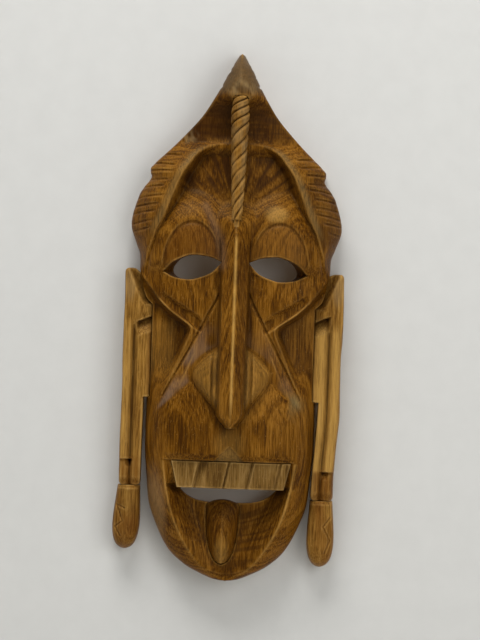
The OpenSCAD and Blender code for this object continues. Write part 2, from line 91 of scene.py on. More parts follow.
# Heights above the wall
TEETH_SET = 5
TONGUE_SET = 2
EDGE_D = 20
NOSE_D = round(FACE_HIGH[1])
LIP_D = TEETH_HIGH[1] + TEETH_SET
BROW_D = 53
BAG_D = 47
CAP_RIM_D = 47
CHEEK_D = 36.5
FOREHEAD_D = 33
BOWL_D = TONGUE_LOW[1] - GLUE_GAP + TONGUE_SET
HOLLOW_D = 27
EAR_D = EAR_HIGH[1]
EAR_BACK = EAR_LOW[1]

# Widths, and distances from the middle
RIM_W = 13
EAR_W = 19.5
EAR_OUT = EAR_HIGH[0]
EAR_IN = EAR_OUT - EAR_W
EAR_SEAT = EAR_LOW[0] - GLUE_GAP

# Half outlines, as height above the chin and half width
HEAD = [(0, 0), (0.9, 9), (4, 17.8), (13.5, 36), (27, 50.5), (50, 62.5), (68, 68.5), (86, 70.5),
        (118, 73), (157, 73), (190, 73.5), (220, 75), (250, 79), (268, 82), (279, 82.5), (289, 86),
        (306, 91), (331, 85), (338, 81), (344, 76.4), (347.5, 74.7), (351, 75.8), (354, 75.9), (358, 73),
        (364, 67), (374, 56.5), (385, 46), (400, 33), (412, 25), (427, 16.5), (444, 8.2), (451.5, 3.9),
        (454.6, 2.2), (456, 0)]
ARCH = [(264, 76), (280, 74), (298, 69), (317, 60.5), (335, 53.5), (351, 46.5), (362, 39), (368, 34.5),
        (376, 22), (378, 0)]
BOWL = [(4.5, 0), (5.5, 9), (10.5, 18.5), (31, 35), (59, 48), (85, 54), (104, 57)]


# Curves and blends
def unit(t):
    """Value kept between 0 and 1."""
    return np.clip(t, 0, 1)


def ease(t, low, high):
    """Share that rises softly from 0 at low to 1 at high."""
    s = unit((t - low) / (high - low))
    return s * s * (3 - 2 * s)


def fall(t, low, high):
    """Share that falls softly from 1 at low to 0 at high."""
    return ease(-t, -high, -low)


def between(t, start, full, fading, end):
    """Share that rises from start to full and falls from fading to end."""
    return ease(t, start, full) * fall(t, fading, end)


def mix(a, b, t):
    return a + (b - a) * t


def soft_max(a, b, width):
    h = unit(0.5 + 0.5 * (a - b) / width)
    return mix(b, a, h) + width * h * (1 - h)


def soft_min(a, b, width):
    return -soft_max(-a, -b, width)


def bell(t, width):
    return np.exp(-(t / width) ** 2)


def past(t, start):
    """How far a value lies past a start, or nothing."""
    return np.maximum(0, t - start)


def oval(a, z, at, r):
    """Distance from the middle of an oval, 1 on its edge."""
    return np.hypot((a - at[0]) / r[0], (z - at[1]) / r[1])


def spot(a, z, at, r):
    """Share of a soft oval patch."""
    return fall(oval(a, z, at, r), 0.5, 1.2)


def by_side(x, left, right):
    return np.where(x < 0, left, right)


def curve(t, points):
    """Smooth curve through the points that never overshoots them."""
    x, y = np.array(points, float).T
    slope = np.diff(y) / np.diff(x)
    m = np.concatenate([slope[:1], np.zeros(len(x) - 2), slope[-1:]])
    for i in range(1, len(x) - 1):
        if slope[i - 1] * slope[i] > 0:
            m[i] = 2 * slope[i - 1] * slope[i] / (slope[i - 1] + slope[i])
    i = np.clip(np.searchsorted(x, t) - 1, 0, len(x) - 2)
    span = x[i + 1] - x[i]
    s = unit((t - x[i]) / span)
    low = (1 + 2 * s) * (1 - s) ** 2 * y[i] + s * (1 - s) ** 2 * span * m[i]
    high = s * s * (3 - 2 * s) * y[i + 1] - s * s * (1 - s) * span * m[i + 1]
    return low + high


def beside(p, q, a, z):
    """Distance from the line p to q, positive on its left."""
    dx, dz = q[0] - p[0], q[1] - p[1]
    return (dx * (z - p[1]) - dz * (a - p[0])) / math.hypot(dx, dz)


def from_path(points, a, z):
    """Distance to a line of several stretches."""
    best = np.full(np.broadcast(a, z).shape, np.inf)
    for (pa, pz), (qa, qz) in zip(points, points[1:]):
        da, dz = qa - pa, qz - pz
        t = unit(((a - pa) * da + (z - pz) * dz) / (da * da + dz * dz))
        best = np.minimum(best, np.hypot(a - pa - t * da, z - pz - t * dz))
    return best


NOISE_CELLS = 97


def wobble(seed, u, v=0.5):
    """Smooth noise from -1 to 1 over two coordinates, or along one."""
    table = np.random.default_rng(seed).uniform(-1, 1, (NOISE_CELLS, NOISE_CELLS))
    u, v = np.broadcast_arrays(u, v)
    iu, iv = np.floor(u).astype(int), np.floor(v).astype(int)
    su, sv = ease(u - iu, 0, 1), ease(v - iv, 0, 1)

    def at(i, j):
        return table[(iu + i) % NOISE_CELLS, (iv + j) % NOISE_CELLS]
    return mix(mix(at(0, 0), at(1, 0), su), mix(at(0, 1), at(1, 1), su), sv)


def tool_marks(seed, x, z, size):
    """Slight unevenness that a knife and sandpaper leave."""
    return size * (wobble(seed, x / 17, z / 26) + 0.4 * wobble(seed + 1, x / 6, z / 11))


# Relief of the face: heights above the wall at a, the distance from the middle, and z
def half_w(z):
    return curve(z, HEAD)


BARREL = [(0, 28), (40, 44), (MOUTH_Z, LIP_D - 5), (LIP_Z, LIP_D), (130, LIP_D), (160, 52), (200, 46),
          (300, 46)]
BARREL_POWER = [(20, 2.4), (MOUTH_Z - 10, 4.2), (130, 4.2), (200, 2.4), (300, 2.4)]
LIP_ROLL = 3


def barrel(a, z):
    """Rounded lower face, with the lip rolled in over the teeth."""
    t = unit(a / np.maximum(half_w(z), 1))
    roll = LIP_ROLL * between(z, LIP_Z - 1, LIP_Z, LIP_Z, LIP_Z + 7) * fall(a, 50, 57)
    return mix(EDGE_D, curve(z, BARREL), (1 - t ** curve(z, BARREL_POWER)) ** 0.75) - roll


CAP_CREST = [(262, CAP_RIM_D - 13), (290, CAP_RIM_D - 5), (320, CAP_RIM_D), (350, CAP_RIM_D),
             (ARCH_Z - 13, CAP_RIM_D - 5), (ARCH_Z, CAP_RIM_D - 12), (ARCH_Z + 8, CAP_RIM_D - 14),
             (BRAID_TOP_Z - 20, CAP_RIM_D - 11.5), (BRAID_TOP_Z - 9, CAP_RIM_D - 6),
             (BRAID_TOP_Z + 2, CAP_RIM_D + 5.5), (BRAID_TOP_Z + 8, CAP_RIM_D + 5.5),
             (HEAD_H - 16, CAP_RIM_D - 2), (HEAD_H, CAP_RIM_D - 20)]
CAP_EDGE = [(262, 22), (CAP_Z, 22), (351, 26), (400, 30), (BRAID_TOP_Z, 38), (HEAD_H - 16, 37), (HEAD_H, 23)]
FOREHEAD = [(262, 46), (300, 46), (318, 42), (330, 38), (345, FOREHEAD_D + 2), (360, FOREHEAD_D),
            (ARCH_Z, FOREHEAD_D - 1)]
FOREHEAD_SAG = 5


def cap(a, z):
    """Cap that slopes from its crest to its edge, with the forehead sunk under its arch."""
    rim = np.where(z > ARCH_Z, 0, curve(z, ARCH))
    share = unit((a - rim) / np.maximum(half_w(z) - rim, 1))
    slope = mix(curve(z, CAP_CREST), curve(z, CAP_EDGE), share ** 1.7)
    fore = curve(z, FOREHEAD) - FOREHEAD_SAG * np.minimum(1.2, a / np.maximum(rim, 8)) ** 2
    under_arch = ease(rim - a, -2, 7.5) * ease(ARCH_Z - z, 0, 13)
    return mix(slope, fore, under_arch)


BROW_AT = (36, EYE_Z + 15)
BROW_R = (36, 46)
BROW_FALL = 13
LID_AT = (37.5, EYE_Z + 2)
LID_R = (24.2, 39)
LID_EDGE = 28
LID_BULGE = 1.8
LID_SINK = 1.3
LID_CREASE = 1.1
GOGGLE = [(46, 335), (54.6, 321), (67, 301), (74, 281), (76, 266), (73, 253), (65, 242)]
GOGGLE_DEEP = 2


def brow_and_lid(a, z, f):
    """Raised mound round the eye, the lid let into it and the groove between mound and hair."""
    mound = soft_max(f, BROW_D - BROW_FALL * oval(a, z, BROW_AT, BROW_R) ** 3, 4)
    lid = oval(a, z, LID_AT, LID_R)
    on_lid = ease(1 - lid, -0.03, 0.05) * ease(z, EYE_Z - 1, EYE_Z + 1)
    crease = LID_CREASE * bell((lid - 1) * LID_EDGE, 1.1) * ease(z, EYE_Z, EYE_Z + 6) * ease(a, 12, 22)
    mound = mound + on_lid * (LID_BULGE * (1 - lid * lid) - LID_SINK) - crease
    groove = GOGGLE_DEEP * bell(from_path(GOGGLE, a, z), 1.4) * fall(z, CAP_Z + 12, CAP_Z + 30)
    return np.where(z < EYE_Z - 14, f, mound) - groove


# Cheek ridge under the eye, from the temple to its inner end, and the edge of the fold below it
RIDGE = [(73, 253), (65, 242), (54, 232), (36, 219.5)]
RIDGE_FOOT = [(73, 249), (65, 238.5), (54, 228.5), (40.5, 219), (41, 211), (47, 196)]
BEAD = [(42.8, 198.8), (61, 156.4)]
BAG_LINE = [(56.4, 245.4), (27.3, 227.8)]
BAG_CHAMFER = 3.4


def bag_under_eye(a, z, f):
    bag = BAG_D - 0.1 * past(z, 240) - 0.1 * past(a, 40) - 0.012 * past(a, 52) ** 2
    return mix(f, bag, between(z, WING_Z - 10, WING_Z + 37, EYE_Z - 10, EYE_Z + 8))


def cheek_hollow(a, z, f):
    """Bag under the eye with its chamfer, and the cheek sunk below and outside it."""
    over = np.minimum.reduce([beside(q, p, a, z) for p, q in zip(RIDGE, RIDGE[1:])])
    bag = bag_under_eye(a, z, f)
    strip = ease(beside(*BAG_LINE, a, z), -0.5, 4.5) * ease(over, -0.5, 2.5)
    chamfer = BAG_CHAMFER * strip * between(a, 24, 32, 58, 66) * (z < EYE_Z)
    inside = soft_min(-over, beside(*BEAD, a, z), 6)
    floor = mix(CHEEK_D - 0.3 * past(a, 40), f, fall(z, WING_Z - 17, WING_Z + 25))
    sunk = mix(bag, np.minimum(bag, floor), ease(inside, -0.6, 5))
    return np.where((a < 30) | (z > EYE_Z - 2), bag, sunk) - chamfer


FOLD = [(12, 250), (15.7, 241), (59, 158.7)]
FOLD_FRONT = [(148, 42.8), (WING_Z, 47), (215, 47.5), (FOLD_TOP_Z, 46)]
FOLD_END = [(59.7, 148.3), (37.4, 169.3)]
FOLD_GROOVE = 1.8


def fold(a, z, f):
    """Planed band from the nose to the mouth corner, with the groove along its outer side."""
    inside = np.minimum(beside(FOLD[1], FOLD[0], a, z), beside(FOLD[2], FOLD[1], a, z))
    on_band = ease(inside, -0.6, 1.4) * fall(beside(*FOLD_END, a, z), -2, 2) * (z < FOLD_TOP_Z)
    groove = FOLD_GROOVE * bell(from_path(FOLD, a, z), 0.9)
    return mix(f, curve(z, FOLD_FRONT), on_band) - groove


# Nose: half outline of the wings, then crest, half width, slope and steepness of the flanks by level
WING = [(NOSE_TIP_Z - 4, -2), (NOSE_TIP_Z, 2.8), (NOSE_TIP_Z + 18, 17), (WING_Z - 7, 31.8),
        (WING_Z + 1, 35.6), (WING_Z + 5, 36), (WING_Z + 9, 34.2), (WING_Z + 16.5, 28.3),
        (WING_Z + 23, 20.8), (WING_Z + 28, 12.7), (WING_Z + 34, -2)]
NOSE_CREST = [(NOSE_TIP_Z - 4, NOSE_D - 22), (NOSE_TIP_Z, NOSE_D - 4), (NOSE_TIP_Z + 16, NOSE_D),
              (WING_Z, NOSE_D - 3), (NOSE_MID_Z, NOSE_D - 12), (275, NOSE_D - 18.5),
              (NOSE_ROOT_Z, NOSE_D - 22), (BRAID_LOW_Z, NOSE_D - 29), (NOSE_END_Z, NOSE_D - 42)]
NOSE_W = [(NOSE_TIP_Z, 1), (NOSE_TIP_Z + 12, 9.5), (NOSE_MID_Z, 10.5), (283, 11.5), (NOSE_ROOT_Z, 14),
          (BRAID_LOW_Z, 21), (NOSE_END_Z, 27)]
NOSE_SLOPE = [(NOSE_TIP_Z, 0.75), (NOSE_MID_Z, 0.75), (283, 0.9), (NOSE_ROOT_Z, 0.95), (BRAID_LOW_Z, 0.45),
              (NOSE_END_Z, 0.1)]
NOSE_STEEP = [(NOSE_MID_Z, 5), (262, 5), (280, 2.2), (NOSE_END_Z, 2.2)]
NOSE_FOOT = 12.4
CREST_ROUND = 1.2
WING_SET = 13
WING_TILT = 0.35
WING_ROLL = 8.5
WING_ROUND = 10
WING_BEAD = 1.2
WING_BEAD_A = 14
FLUTE = 2
FLUTE_A = 17
VALLEY = [(11.5, 272), (11.8, 283), (14.5, 297), (21, 311), (27, 323)]
VALLEY_DEEP = 1.8


def wing_inside(a, z):
    """Distance inwards from the outline of a nose wing."""
    return 0.72 * (curve(z, WING) - a)


def nose_wing(a, z):
    """Pillow-like wing with a bead and a flute beside the nose."""
    rolled = WING_ROLL * (1 - unit(wing_inside(a, z) / WING_ROUND)) ** 2
    bead = WING_BEAD * bell(a - WING_BEAD_A, 1.8) - FLUTE * bell(a - FLUTE_A, 0.9)
    fluted = between(z, WING_Z - 27, WING_Z - 19, WING_Z + 15, WING_Z + 27)
    return curve(z, NOSE_CREST) - WING_SET - WING_TILT * a - rolled + bead * fluted


def nose(a, z, f):
    """Roof-shaped nose with wings; its root opens out between the lids."""
    f = mix(f, np.maximum(f, nose_wing(a, z)), ease(wing_inside(a, z), -0.8, 0.8))
    flank = curve(z, NOSE_STEEP) * past(a, curve(z, NOSE_W))
    roof = curve(z, NOSE_CREST) - curve(z, NOSE_SLOPE) * np.hypot(a, CREST_ROUND) - flank
    valley = VALLEY_DEEP * bell(from_path(VALLEY, a, z), 3.6) * fall(z, CAP_Z, CAP_Z + 20)
    on_nose = (z < NOSE_END_Z + 1) & (z > NOSE_TIP_Z - 1)
    return np.where(on_nose, soft_max(f - valley, roof, 0.8), f)


BOWL_FLOOR = [(0, BOWL_D + 7), (14, BOWL_D + 5), (40, BOWL_D + 2.5), (MOUTH_Z - 10, BOWL_D),
              (MOUTH_Z, BOWL_D), (MOUTH_Z + 4, LIP_D - 17), (LIP_Z, LIP_D - 11)]
BOWL_REACH = [(5, 10), (40, 24), (MOUTH_Z - 10, 20), (MOUTH_Z + 4, 6), (LIP_Z, 5)]


def jaw_bowl(a, z, f):
    """Open jaw, scooped out below the lip."""
    width = np.where((z < BOWL[0][0]) | (z > LIP_Z), 0, curve(z, BOWL))
    scoop = 1 - (1 - unit((width - a) / curve(z, BOWL_REACH))) ** 2
    return np.where(width == 0, f, mix(f, np.minimum(f, curve(z, BOWL_FLOOR)), scoop))


# Cuts across the hair, from the outer edge towards the cap's rim
HAIR_TOP_Z = 366
HAIR_STEP = 6.9
HAIR_CUTS = 10
HAIR_JITTER = (-0.9, 0.9)
HAIR_START = (5, 11)
HAIR_SLANT = (-0.04, 0.1)
HAIR_DEEP = (1.5, 2.1)
HAIR_BEND = 0.006


def hair_cuts(x, z):
    a = np.abs(x)
    luck = np.random.default_rng(7)
    from_rim = a - curve(z, ARCH)
    total = np.zeros(np.broadcast(x, z).shape)
    for side in SIDES:
        for i in range(HAIR_CUTS):
            level = HAIR_TOP_Z - HAIR_STEP * i + luck.uniform(*HAIR_JITTER)
            start = luck.uniform(*HAIR_START)
            line = level - luck.uniform(*HAIR_SLANT) * (a - 70) - HAIR_BEND * (a - 66) ** 2
            deep = luck.uniform(*HAIR_DEEP) * ease(from_rim, start, start + 5) * (x * side > 0)
            total = total + deep * bell(z - line, 0.85)
    return total


PHILTRUM_W = 14
PHILTRUM_DEEP = 1.8


def philtrum_inside(a, z):
    """Distance inwards from the triangle between the nose tip and the teeth."""
    return PHILTRUM_W - 0.95 * np.abs(z - LIP_Z) - a


def philtrum(a, z):
    """Small triangular facet over the teeth."""
    below_nose = fall(z, NOSE_TIP_Z - 14, NOSE_TIP_Z - 8) * (z > LIP_Z)
    return PHILTRUM_DEEP * ease(philtrum_inside(a, z), 0, 2.2) * below_nose


def face_front(x, z):
    a = np.abs(x)
    f = mix(barrel(a, z), cap(a, z), ease(z, EYE_Z - 12, EYE_Z + 4))
    for step in (brow_and_lid, cheek_hollow, fold, nose, jaw_bowl):
        f = step(a, z, f)
    return f - philtrum(a, z) - hair_cuts(x, z) + tool_marks(3, x, z, 0.35)


# Hollow behind the face, with the marks of a gouge
HOLLOW_LOW_Z = 14
HOLLOW_TOP_Z = ARCH_Z + 14
HOLLOW = [(HOLLOW_LOW_Z, 5), (30, 13), (60, BOWL_D - 9), (MOUTH_Z + 9, BOWL_D - 7), (LIP_Z + 6, HOLLOW_D),
          (300, HOLLOW_D), (326, HOLLOW_D - 2), (332, 20.5), (356, 20), (ARCH_Z, 16), (HOLLOW_TOP_Z, 8)]
NOSE_HOLLOW = 20
GOUGE = 1.2
GOUGE_W = 5
NO_HOLLOW = -5


def face_back(x, z):
    t = np.clip(np.abs(x) / np.maximum(half_w(z) - RIM_W, 1), 0, 1.2)
    nose_reach = between(z, NOSE_TIP_Z - 4, NOSE_TIP_Z + 16, EYE_Z - 8, EYE_Z + 22)
    behind_nose = NOSE_HOLLOW * bell(x, 14) * nose_reach
    swing = np.abs(np.sin(x / GOUGE_W + 1.3 * wobble(21, x / 30, z / 40)))
    marks = GOUGE * swing * (1 + wobble(22, x / 8, z / 22))
    hollow = (z > HOLLOW_LOW_Z) & (z < HOLLOW_TOP_Z) & (t < 1.1)
    return np.where(hollow, (curve(z, HOLLOW) + behind_nose - marks) * (1 - t ** 4), NO_HOLLOW)


# Fields: below zero inside the wood, in millimetres
def spacing(d):
    """Voxel size of the grid that a field is worked out on."""
    return d[0, 1, 0] - d[0, 0, 0]


def under(height, d):
    """Space below a height over x and z, divided by the slope so that steep walls keep true distances."""
    gx, gz = np.gradient(np.squeeze(height, 1), spacing(d))
    return (d - height) / np.sqrt(1 + gx * gx + gz * gz)[:, None, :]


def within(*fields):
    """Space that all the fields share."""
    return reduce(np.maximum, fields)


def block(x, d, z, low, high):
    return within(*(np.maximum(low[i] - t, t - high[i]) for i, t in enumerate((x, d, z))))


# Holes of the eyes and of the mouth
EYE_TOP = [(11.5, 275), (23, 279.5), (35.5, 280.7), (52, 275), (63, 265.5)]
EYE_LOW = [(11.5, 275), (20.6, 265.6), (30, 261.5), (39, 259.4), (49, 260.3), (63, 265.5)]
EYE_IN = EYE_TOP[0][0]
EYE_OUT_BACK = 53.5
EYE_OUT_FRONT = EYE_TOP[-1][0]
EYE_CORNER = 9


def eye_field(x, d, z):
    """Almond hole; its outer corner runs further out near the front."""
    a = np.abs(x)
    out = mix(EYE_OUT_BACK, EYE_OUT_FRONT, ease(d, 26, 45))
    top, low = curve(a, EYE_TOP), curve(a, EYE_LOW)
    middle = mix(top, low, 0.55)
    t = 1 - unit((out - a) / EYE_CORNER)
    open_share = np.sqrt(1 - t * t)
    rise = z - middle - (top - middle) * open_share
    sink = middle + (low - middle) * open_share - z
    return within(0.85 * rise, 0.85 * sink, EYE_IN - a, a - out)


MOUTH_HALF_W = 43
MOUTH_DROP = 13


def mouth_field(x, z):
    low = MOUTH_Z - MOUTH_DROP * (1 - np.minimum(np.abs(x) / MOUTH_HALF_W, 1) ** 4)
    return within(low - z, z - MOUTH_Z)


# Pocket for the hanger, with room for the ring to swing up
POCKET_CLEAR = 3
WIRE_R = (RING_HIGH[1] - RING_LOW[1]) / 2
RING_UP_Z = 2 * (RING_HIGH[2] - WIRE_R) - RING_LOW[2]
POCKET_LOW = (RING_LOW[0] - POCKET_CLEAR, -1, STRAP_LOW[2] - POCKET_CLEAR)
POCKET_HIGH = (RING_HIGH[0] + POCKET_CLEAR, STRAP_HIGH[1], RING_UP_Z + POCKET_CLEAR)
END_CUT = 0.3
NICK = 1.3


def tip_nicks(x, z):
    """Small cuts along both edges of the cap's tip."""
    along = z / 2.6 + np.where(x > 0, 40, 0)
    tip = between(z, BRAID_TOP_Z - 4, BRAID_TOP_Z + 4, HEAD_H - 12, HEAD_H - 6)
    return NICK * ease(wobble(91, along), -0.1, 0.7) * tip


def face_solid(x, d, z):
    """Carved shell, cut by its hollow, its holes and the seats of the other pieces."""
    wide = half_w(z)
    lean = np.gradient(np.squeeze(wide), spacing(d))[None, None, :]
    outline = (np.abs(x) - wide) / np.sqrt(1 + lean * lean)
    f = soft_max(under(face_front(x, z), d), outline + tip_nicks(x, z), 2)
    f = soft_max(within(f, END_CUT - z, z - HEAD_H + END_CUT), -d, 1)
    holes = [under(face_back(x, z), d), eye_field(x, d, z), mouth_field(x, z)]
    holes += [ear_seat(s, x, d, z) for s in SIDES]
    holes += [seat(x, d, z) for seat in (teeth_seat, tongue_seat, braid_seat)]
    holes.append(block(x, d, z, POCKET_LOW, POCKET_HIGH))
    return within(f, *(-hole for hole in holes))


# Meshes from fields: widths in voxels
BAND = 3
MARGIN = 4
SLAB = 48

# How much wood lies round a point, within two radii, tells whether it is sunk, worn or in a recess; these
# shares give dark wax with painted shade in cuts, painted shade in recesses and pale wear with a painted
# highlight on edges
CLOSE_R = 1.2
WIDE_R = 9
SUNK_FROM = 0.54
SUNK_GAIN = 6
RECESS_FROM = 0.5
RECESS_GAIN = 3.2
WORN_FROM = 0.47
WORN_GAIN = 9
# Share of the dark wax and painted shade that is kept on the back, which faces the wall
BACK_WAX_AND_SHADE = 0.2


def box_blur(field, radius):
    """Mean over a cube around each voxel."""
    size = 2 * radius + 1
    for axis in range(3):
        wide = [(0, 0)] * 3
        wide[axis] = (radius + 1, radius)
        sums = np.cumsum(np.pad(field, wide, mode="edge"), axis=axis, dtype=np.float32)
        upper = np.take(sums, range(size, sums.shape[axis]), axis)
        lower = np.take(sums, range(0, sums.shape[axis] - size), axis)
        field = (upper - lower) / size
    return field


def sample(field, points):
    """Values of a field between its voxels."""
    base = np.clip(np.floor(points).astype(int), 0, np.array(field.shape) - 2)
    part = points - base
    total = 0
    for corner in np.ndindex(2, 2, 2):
        share = np.prod(np.where(corner, part, 1 - part), axis=1)
        i, j, k = (base + corner).T
        total = total + share * field[i, j, k]
    return total


def fill(low, high, voxel, solid):
    """Field of a solid on a grid of voxels, worked out in slabs and kept to a band round its surface."""
    xs, ds, zs = [np.arange(a, b, voxel) for a, b in zip(low, high)]
    field = np.empty((len(xs), len(ds), len(zs)), np.float32)
    for k in range(0, len(zs), SLAB):
        stop = min(k + SLAB, len(zs))
        start = max(0, min(k, stop - 2))
        part = solid(xs[:, None, None], ds[None, :, None], zs[None, None, start:stop])
        field[:, :, start:stop] = np.clip(part / voxel, -BAND, BAND)
    return field


def carve(name, low, high, voxel, solid):
    """Closed mesh of the space where the field is below zero, with how sunk, how recessed and how worn each
    point is: shares of dark wax with painted shade, of painted shade, and of pale wear with a painted
    highlight.
    """
    low = np.array(low, float) - MARGIN * voxel
    high = np.array(high, float) + MARGIN * voxel
    field = fill(low, high, voxel, solid)
    grid = openvdb.FloatGrid(BAND)
    grid.copyFromArray(field)
    points, tris, quads = grid.convertToPolygons(isovalue=0.0, adaptivity=0.0)
    place = low + points * voxel
    obj = mesh_object(name, place, tris, quads)
    wood_share = unit(0.5 - field / 2)
    near = max(1, round(CLOSE_R / voxel))
    close = sample(box_blur(box_blur(wood_share, near), near), points)
    wide = sample(box_blur(wood_share, round(WIDE_R / voxel)), points)
    # Shares of dark wax and painted shade in cuts, of painted shade in broad hollows, both kept faint on the
    # back, and of pale wear with a painted highlight on edges
    wax_and_shade_share = mix(1, BACK_WAX_AND_SHADE, back_facing(obj))
    add_value(obj, "sunk", wax_and_shade_share * unit((close - SUNK_FROM) * SUNK_GAIN))
    add_value(obj, "recess_shade", wax_and_shade_share * unit((wide - RECESS_FROM) * RECESS_GAIN))
    add_value(obj, "worn_and_highlight", unit((WORN_FROM - close) * WORN_GAIN))
    return obj, place


def mesh_object(name, place, tris, quads):
    """Smooth-shaded object from points, triangles and quads, in metres of the frame."""
    co = (np.column_stack([place[:, 0], -place[:, 1], place[:, 2] + CHIN]) / MM).astype(np.float32)
    loops = np.concatenate([tris[:, ::-1].ravel(), quads[:, ::-1].ravel()]).astype(np.int32)
    sizes = np.concatenate([np.full(len(tris), 3), np.full(len(quads), 4)]).astype(np.int32)
    starts = np.concatenate([[0], np.cumsum(sizes)[:-1]]).astype(np.int32)
    mesh = bpy.data.meshes.new(name)
    mesh.vertices.add(len(co))
    mesh.vertices.foreach_set("co", co.ravel())
    mesh.loops.add(len(loops))
    mesh.loops.foreach_set("vertex_index", loops)
    mesh.polygons.add(len(sizes))
    mesh.polygons.foreach_set("loop_start", starts)
    mesh.update(calc_edges=True)
    mesh.validate()
    mesh.shade_smooth()
    return shown(name, mesh)


def shown(name, data):
    """Object of the given data, put in the scene."""
    obj = bpy.data.objects.new(name, data)
    bpy.context.scene.collection.objects.link(obj)
    return obj


def back_facing(obj):
    """Share by which each point of a mesh looks towards the wall."""
    normals = np.empty(3 * len(obj.data.vertices), np.float32)
    obj.data.vertex_normals.foreach_get("vector", normals)
    return ease(normals[1::3], 0.1, 0.5)


def add_value(obj, name, values):
    layer = obj.data.attributes.new(name, "FLOAT", "POINT")
    layer.data.foreach_set("value", np.asarray(values, np.float32))


def tint(obj, patches=()):
    """Lays patches of colour over a piece, each with its share at every point."""
    colours = np.zeros((len(obj.data.vertices), 3))
    strength = np.zeros(len(colours))
    for colour, share in patches:
        total = 1 - (1 - strength) * (1 - share)
        kept = strength * (1 - share)
        colours = (colours * kept[:, None] + np.outer(share, colour)) / np.maximum(total, 1e-6)[:, None]
        strength = total
    layer = obj.data.attributes.new("tint", "FLOAT_COLOR", "POINT")
    layer.data.foreach_set("color", np.column_stack([colours, strength]).astype(np.float32).ravel())


def finish_piece(obj, node, slot):
    obj.data.materials.append(WOODS[slot])
    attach(obj, "mask")
    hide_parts(node)


# Materials; sizes of grain are in metres
def linear(r, g, b):
    """Colour as shown on a screen, 0 to 255, to the shader's linear values."""
    shares = (r / 255, g / 255, b / 255)
    return tuple(c / 12.92 if c <= 0.04045 else ((c + 0.055) / 1.055) ** 2.4 for c in shares)


class Nodes:
    """Short way to add and link shader nodes."""

    def __init__(self, name):
        self.material = bpy.data.materials.new(name)
        self.material.use_nodes = True
        self.tree = self.material.node_tree
        self.shader = self.tree.nodes["Principled BSDF"]
        self.place = self.add("ShaderNodeTexCoord").outputs["Object"]

    def add(self, kind, inputs=None, **settings):
        made = self.tree.nodes.new(kind)
        for key, value in settings.items():
            setattr(made, key, value)
        for key, value in (inputs or {}).items():
            self.put(made.inputs[key], value)
        return made

    def put(self, socket, value):
        if isinstance(value, bpy.types.NodeSocket):
            self.tree.links.new(value, socket)
        else:
            socket.default_value = value

    def maths(self, operation, a, b=0.0, clamp=False):
        return self.add("ShaderNodeMath", {0: a, 1: b}, operation=operation, use_clamp=clamp).outputs[0]

    def plus(self, a, b, clamp=False):
        return self.maths("ADD", a, b, clamp)

    def times(self, a, b, clamp=False):
        return self.maths("MULTIPLY", a, b, clamp)

    def above(self, value, floor, gain):
        """Share by which a value stands above a floor."""
        return self.times(self.maths("SUBTRACT", value, floor, clamp=True), gain, clamp=True)

    def noise(self, size, detail=3.0, roughness=0.55):
        """Noise whose blobs have the given size along each axis."""
        scaled = self.add("ShaderNodeMapping", {"Vector": self.place, "Scale": [1 / s for s in size]})
        settings = {"Vector": scaled.outputs[0], "Scale": 1.0, "Detail": detail, "Roughness": roughness}
        return self.add("ShaderNodeTexNoise", settings).outputs["Fac"]

    def ramp(self, value, stops):
        made = self.add("ShaderNodeValToRGB", {"Fac": value})
        points = made.color_ramp.elements
        while len(points) < len(stops):
            points.new(0.5)
        for point, (place, colour) in zip(points, stops):
            point.position = place
            point.color = (*colour, 1)
        return made.outputs["Color"]

    def blend(self, share, a, b):
        made = self.add("ShaderNodeMix", {0: share, 6: a, 7: b}, data_type="RGBA", blend_type="MIX")
        return made.outputs[2]

    def value(self, attribute):
        return self.add("ShaderNodeAttribute", attribute_name=attribute).outputs["Fac"]

    def surface(self, colour, roughness, height, strength, depth):
        """Colour, roughness and a bump of the given strength and depth."""
        bump = self.add("ShaderNodeBump", {"Height": height, "Strength": strength, "Distance": depth})
        sockets = {"Base Color": colour, "Roughness": roughness, "Normal": bump.outputs[0]}
        for name, value in sockets.items():
            self.put(self.shader.inputs[name], value)
        return self.material


# Grain sizes across, through and along the trunk
FIBRE = (0.0010, 0.0010, 0.022)
BLOTCH = (0.022, 0.022, 0.05)
PORE = (0.0008, 0.0008, 0.008)
SPECK = (0.0012, 0.0012, 0.0024)
DRIFT = (0.045, 0.045, 0.16)
RING_W = 0.0026
RING_DRIFT = 0.014

# Shares of rings, fibres and blotches in the tone, and the tones that are dark, middling and light
TONE_SHARES = (0.27, 0.49, 0.24)
TONE_STOPS = (0.41, 0.5, 0.61)
PORE_SHARE = 0.5
SPECK_SHARE = 0.4
# Shares of painted shade in broad hollows, of dark wax with painted shade in cuts, and of pale wear with a
# painted highlight on edges
RECESS_SHADE = 0.48
SUNK_WAX_AND_SHADE = 0.6
WORN_AND_HIGHLIGHT_SHARE = 0.8
BUMP_STRENGTH = 0.4
BUMP_DEEP = 0.0004
WAX_GLEAM = 0.1
WAX_TINT = (1.0, 0.74, 0.38, 1)
BLACK = (0, 0, 0, 1)


def growth_rings(n, pith):
    """Rings round an upright pith, bent a little."""
    drift = n.noise(DRIFT, 2.0)
    parts = n.add("ShaderNodeSeparateXYZ", {"Vector": n.place}).outputs
    off = [n.maths("SUBTRACT", parts[axis], middle) for axis, middle in zip("XY", pith)]
    radius = n.maths("SQRT", n.plus(n.times(off[0], off[0]), n.times(off[1], off[1])))
    radius = n.plus(radius, n.times(drift, RING_DRIFT))
    settings = {"W": n.maths("DIVIDE", radius, RING_W), "Scale": 1.0, "Detail": 3.0, "Roughness": 0.65}
    return n.add("ShaderNodeTexNoise", settings, noise_dimensions="1D").outputs["Fac"]


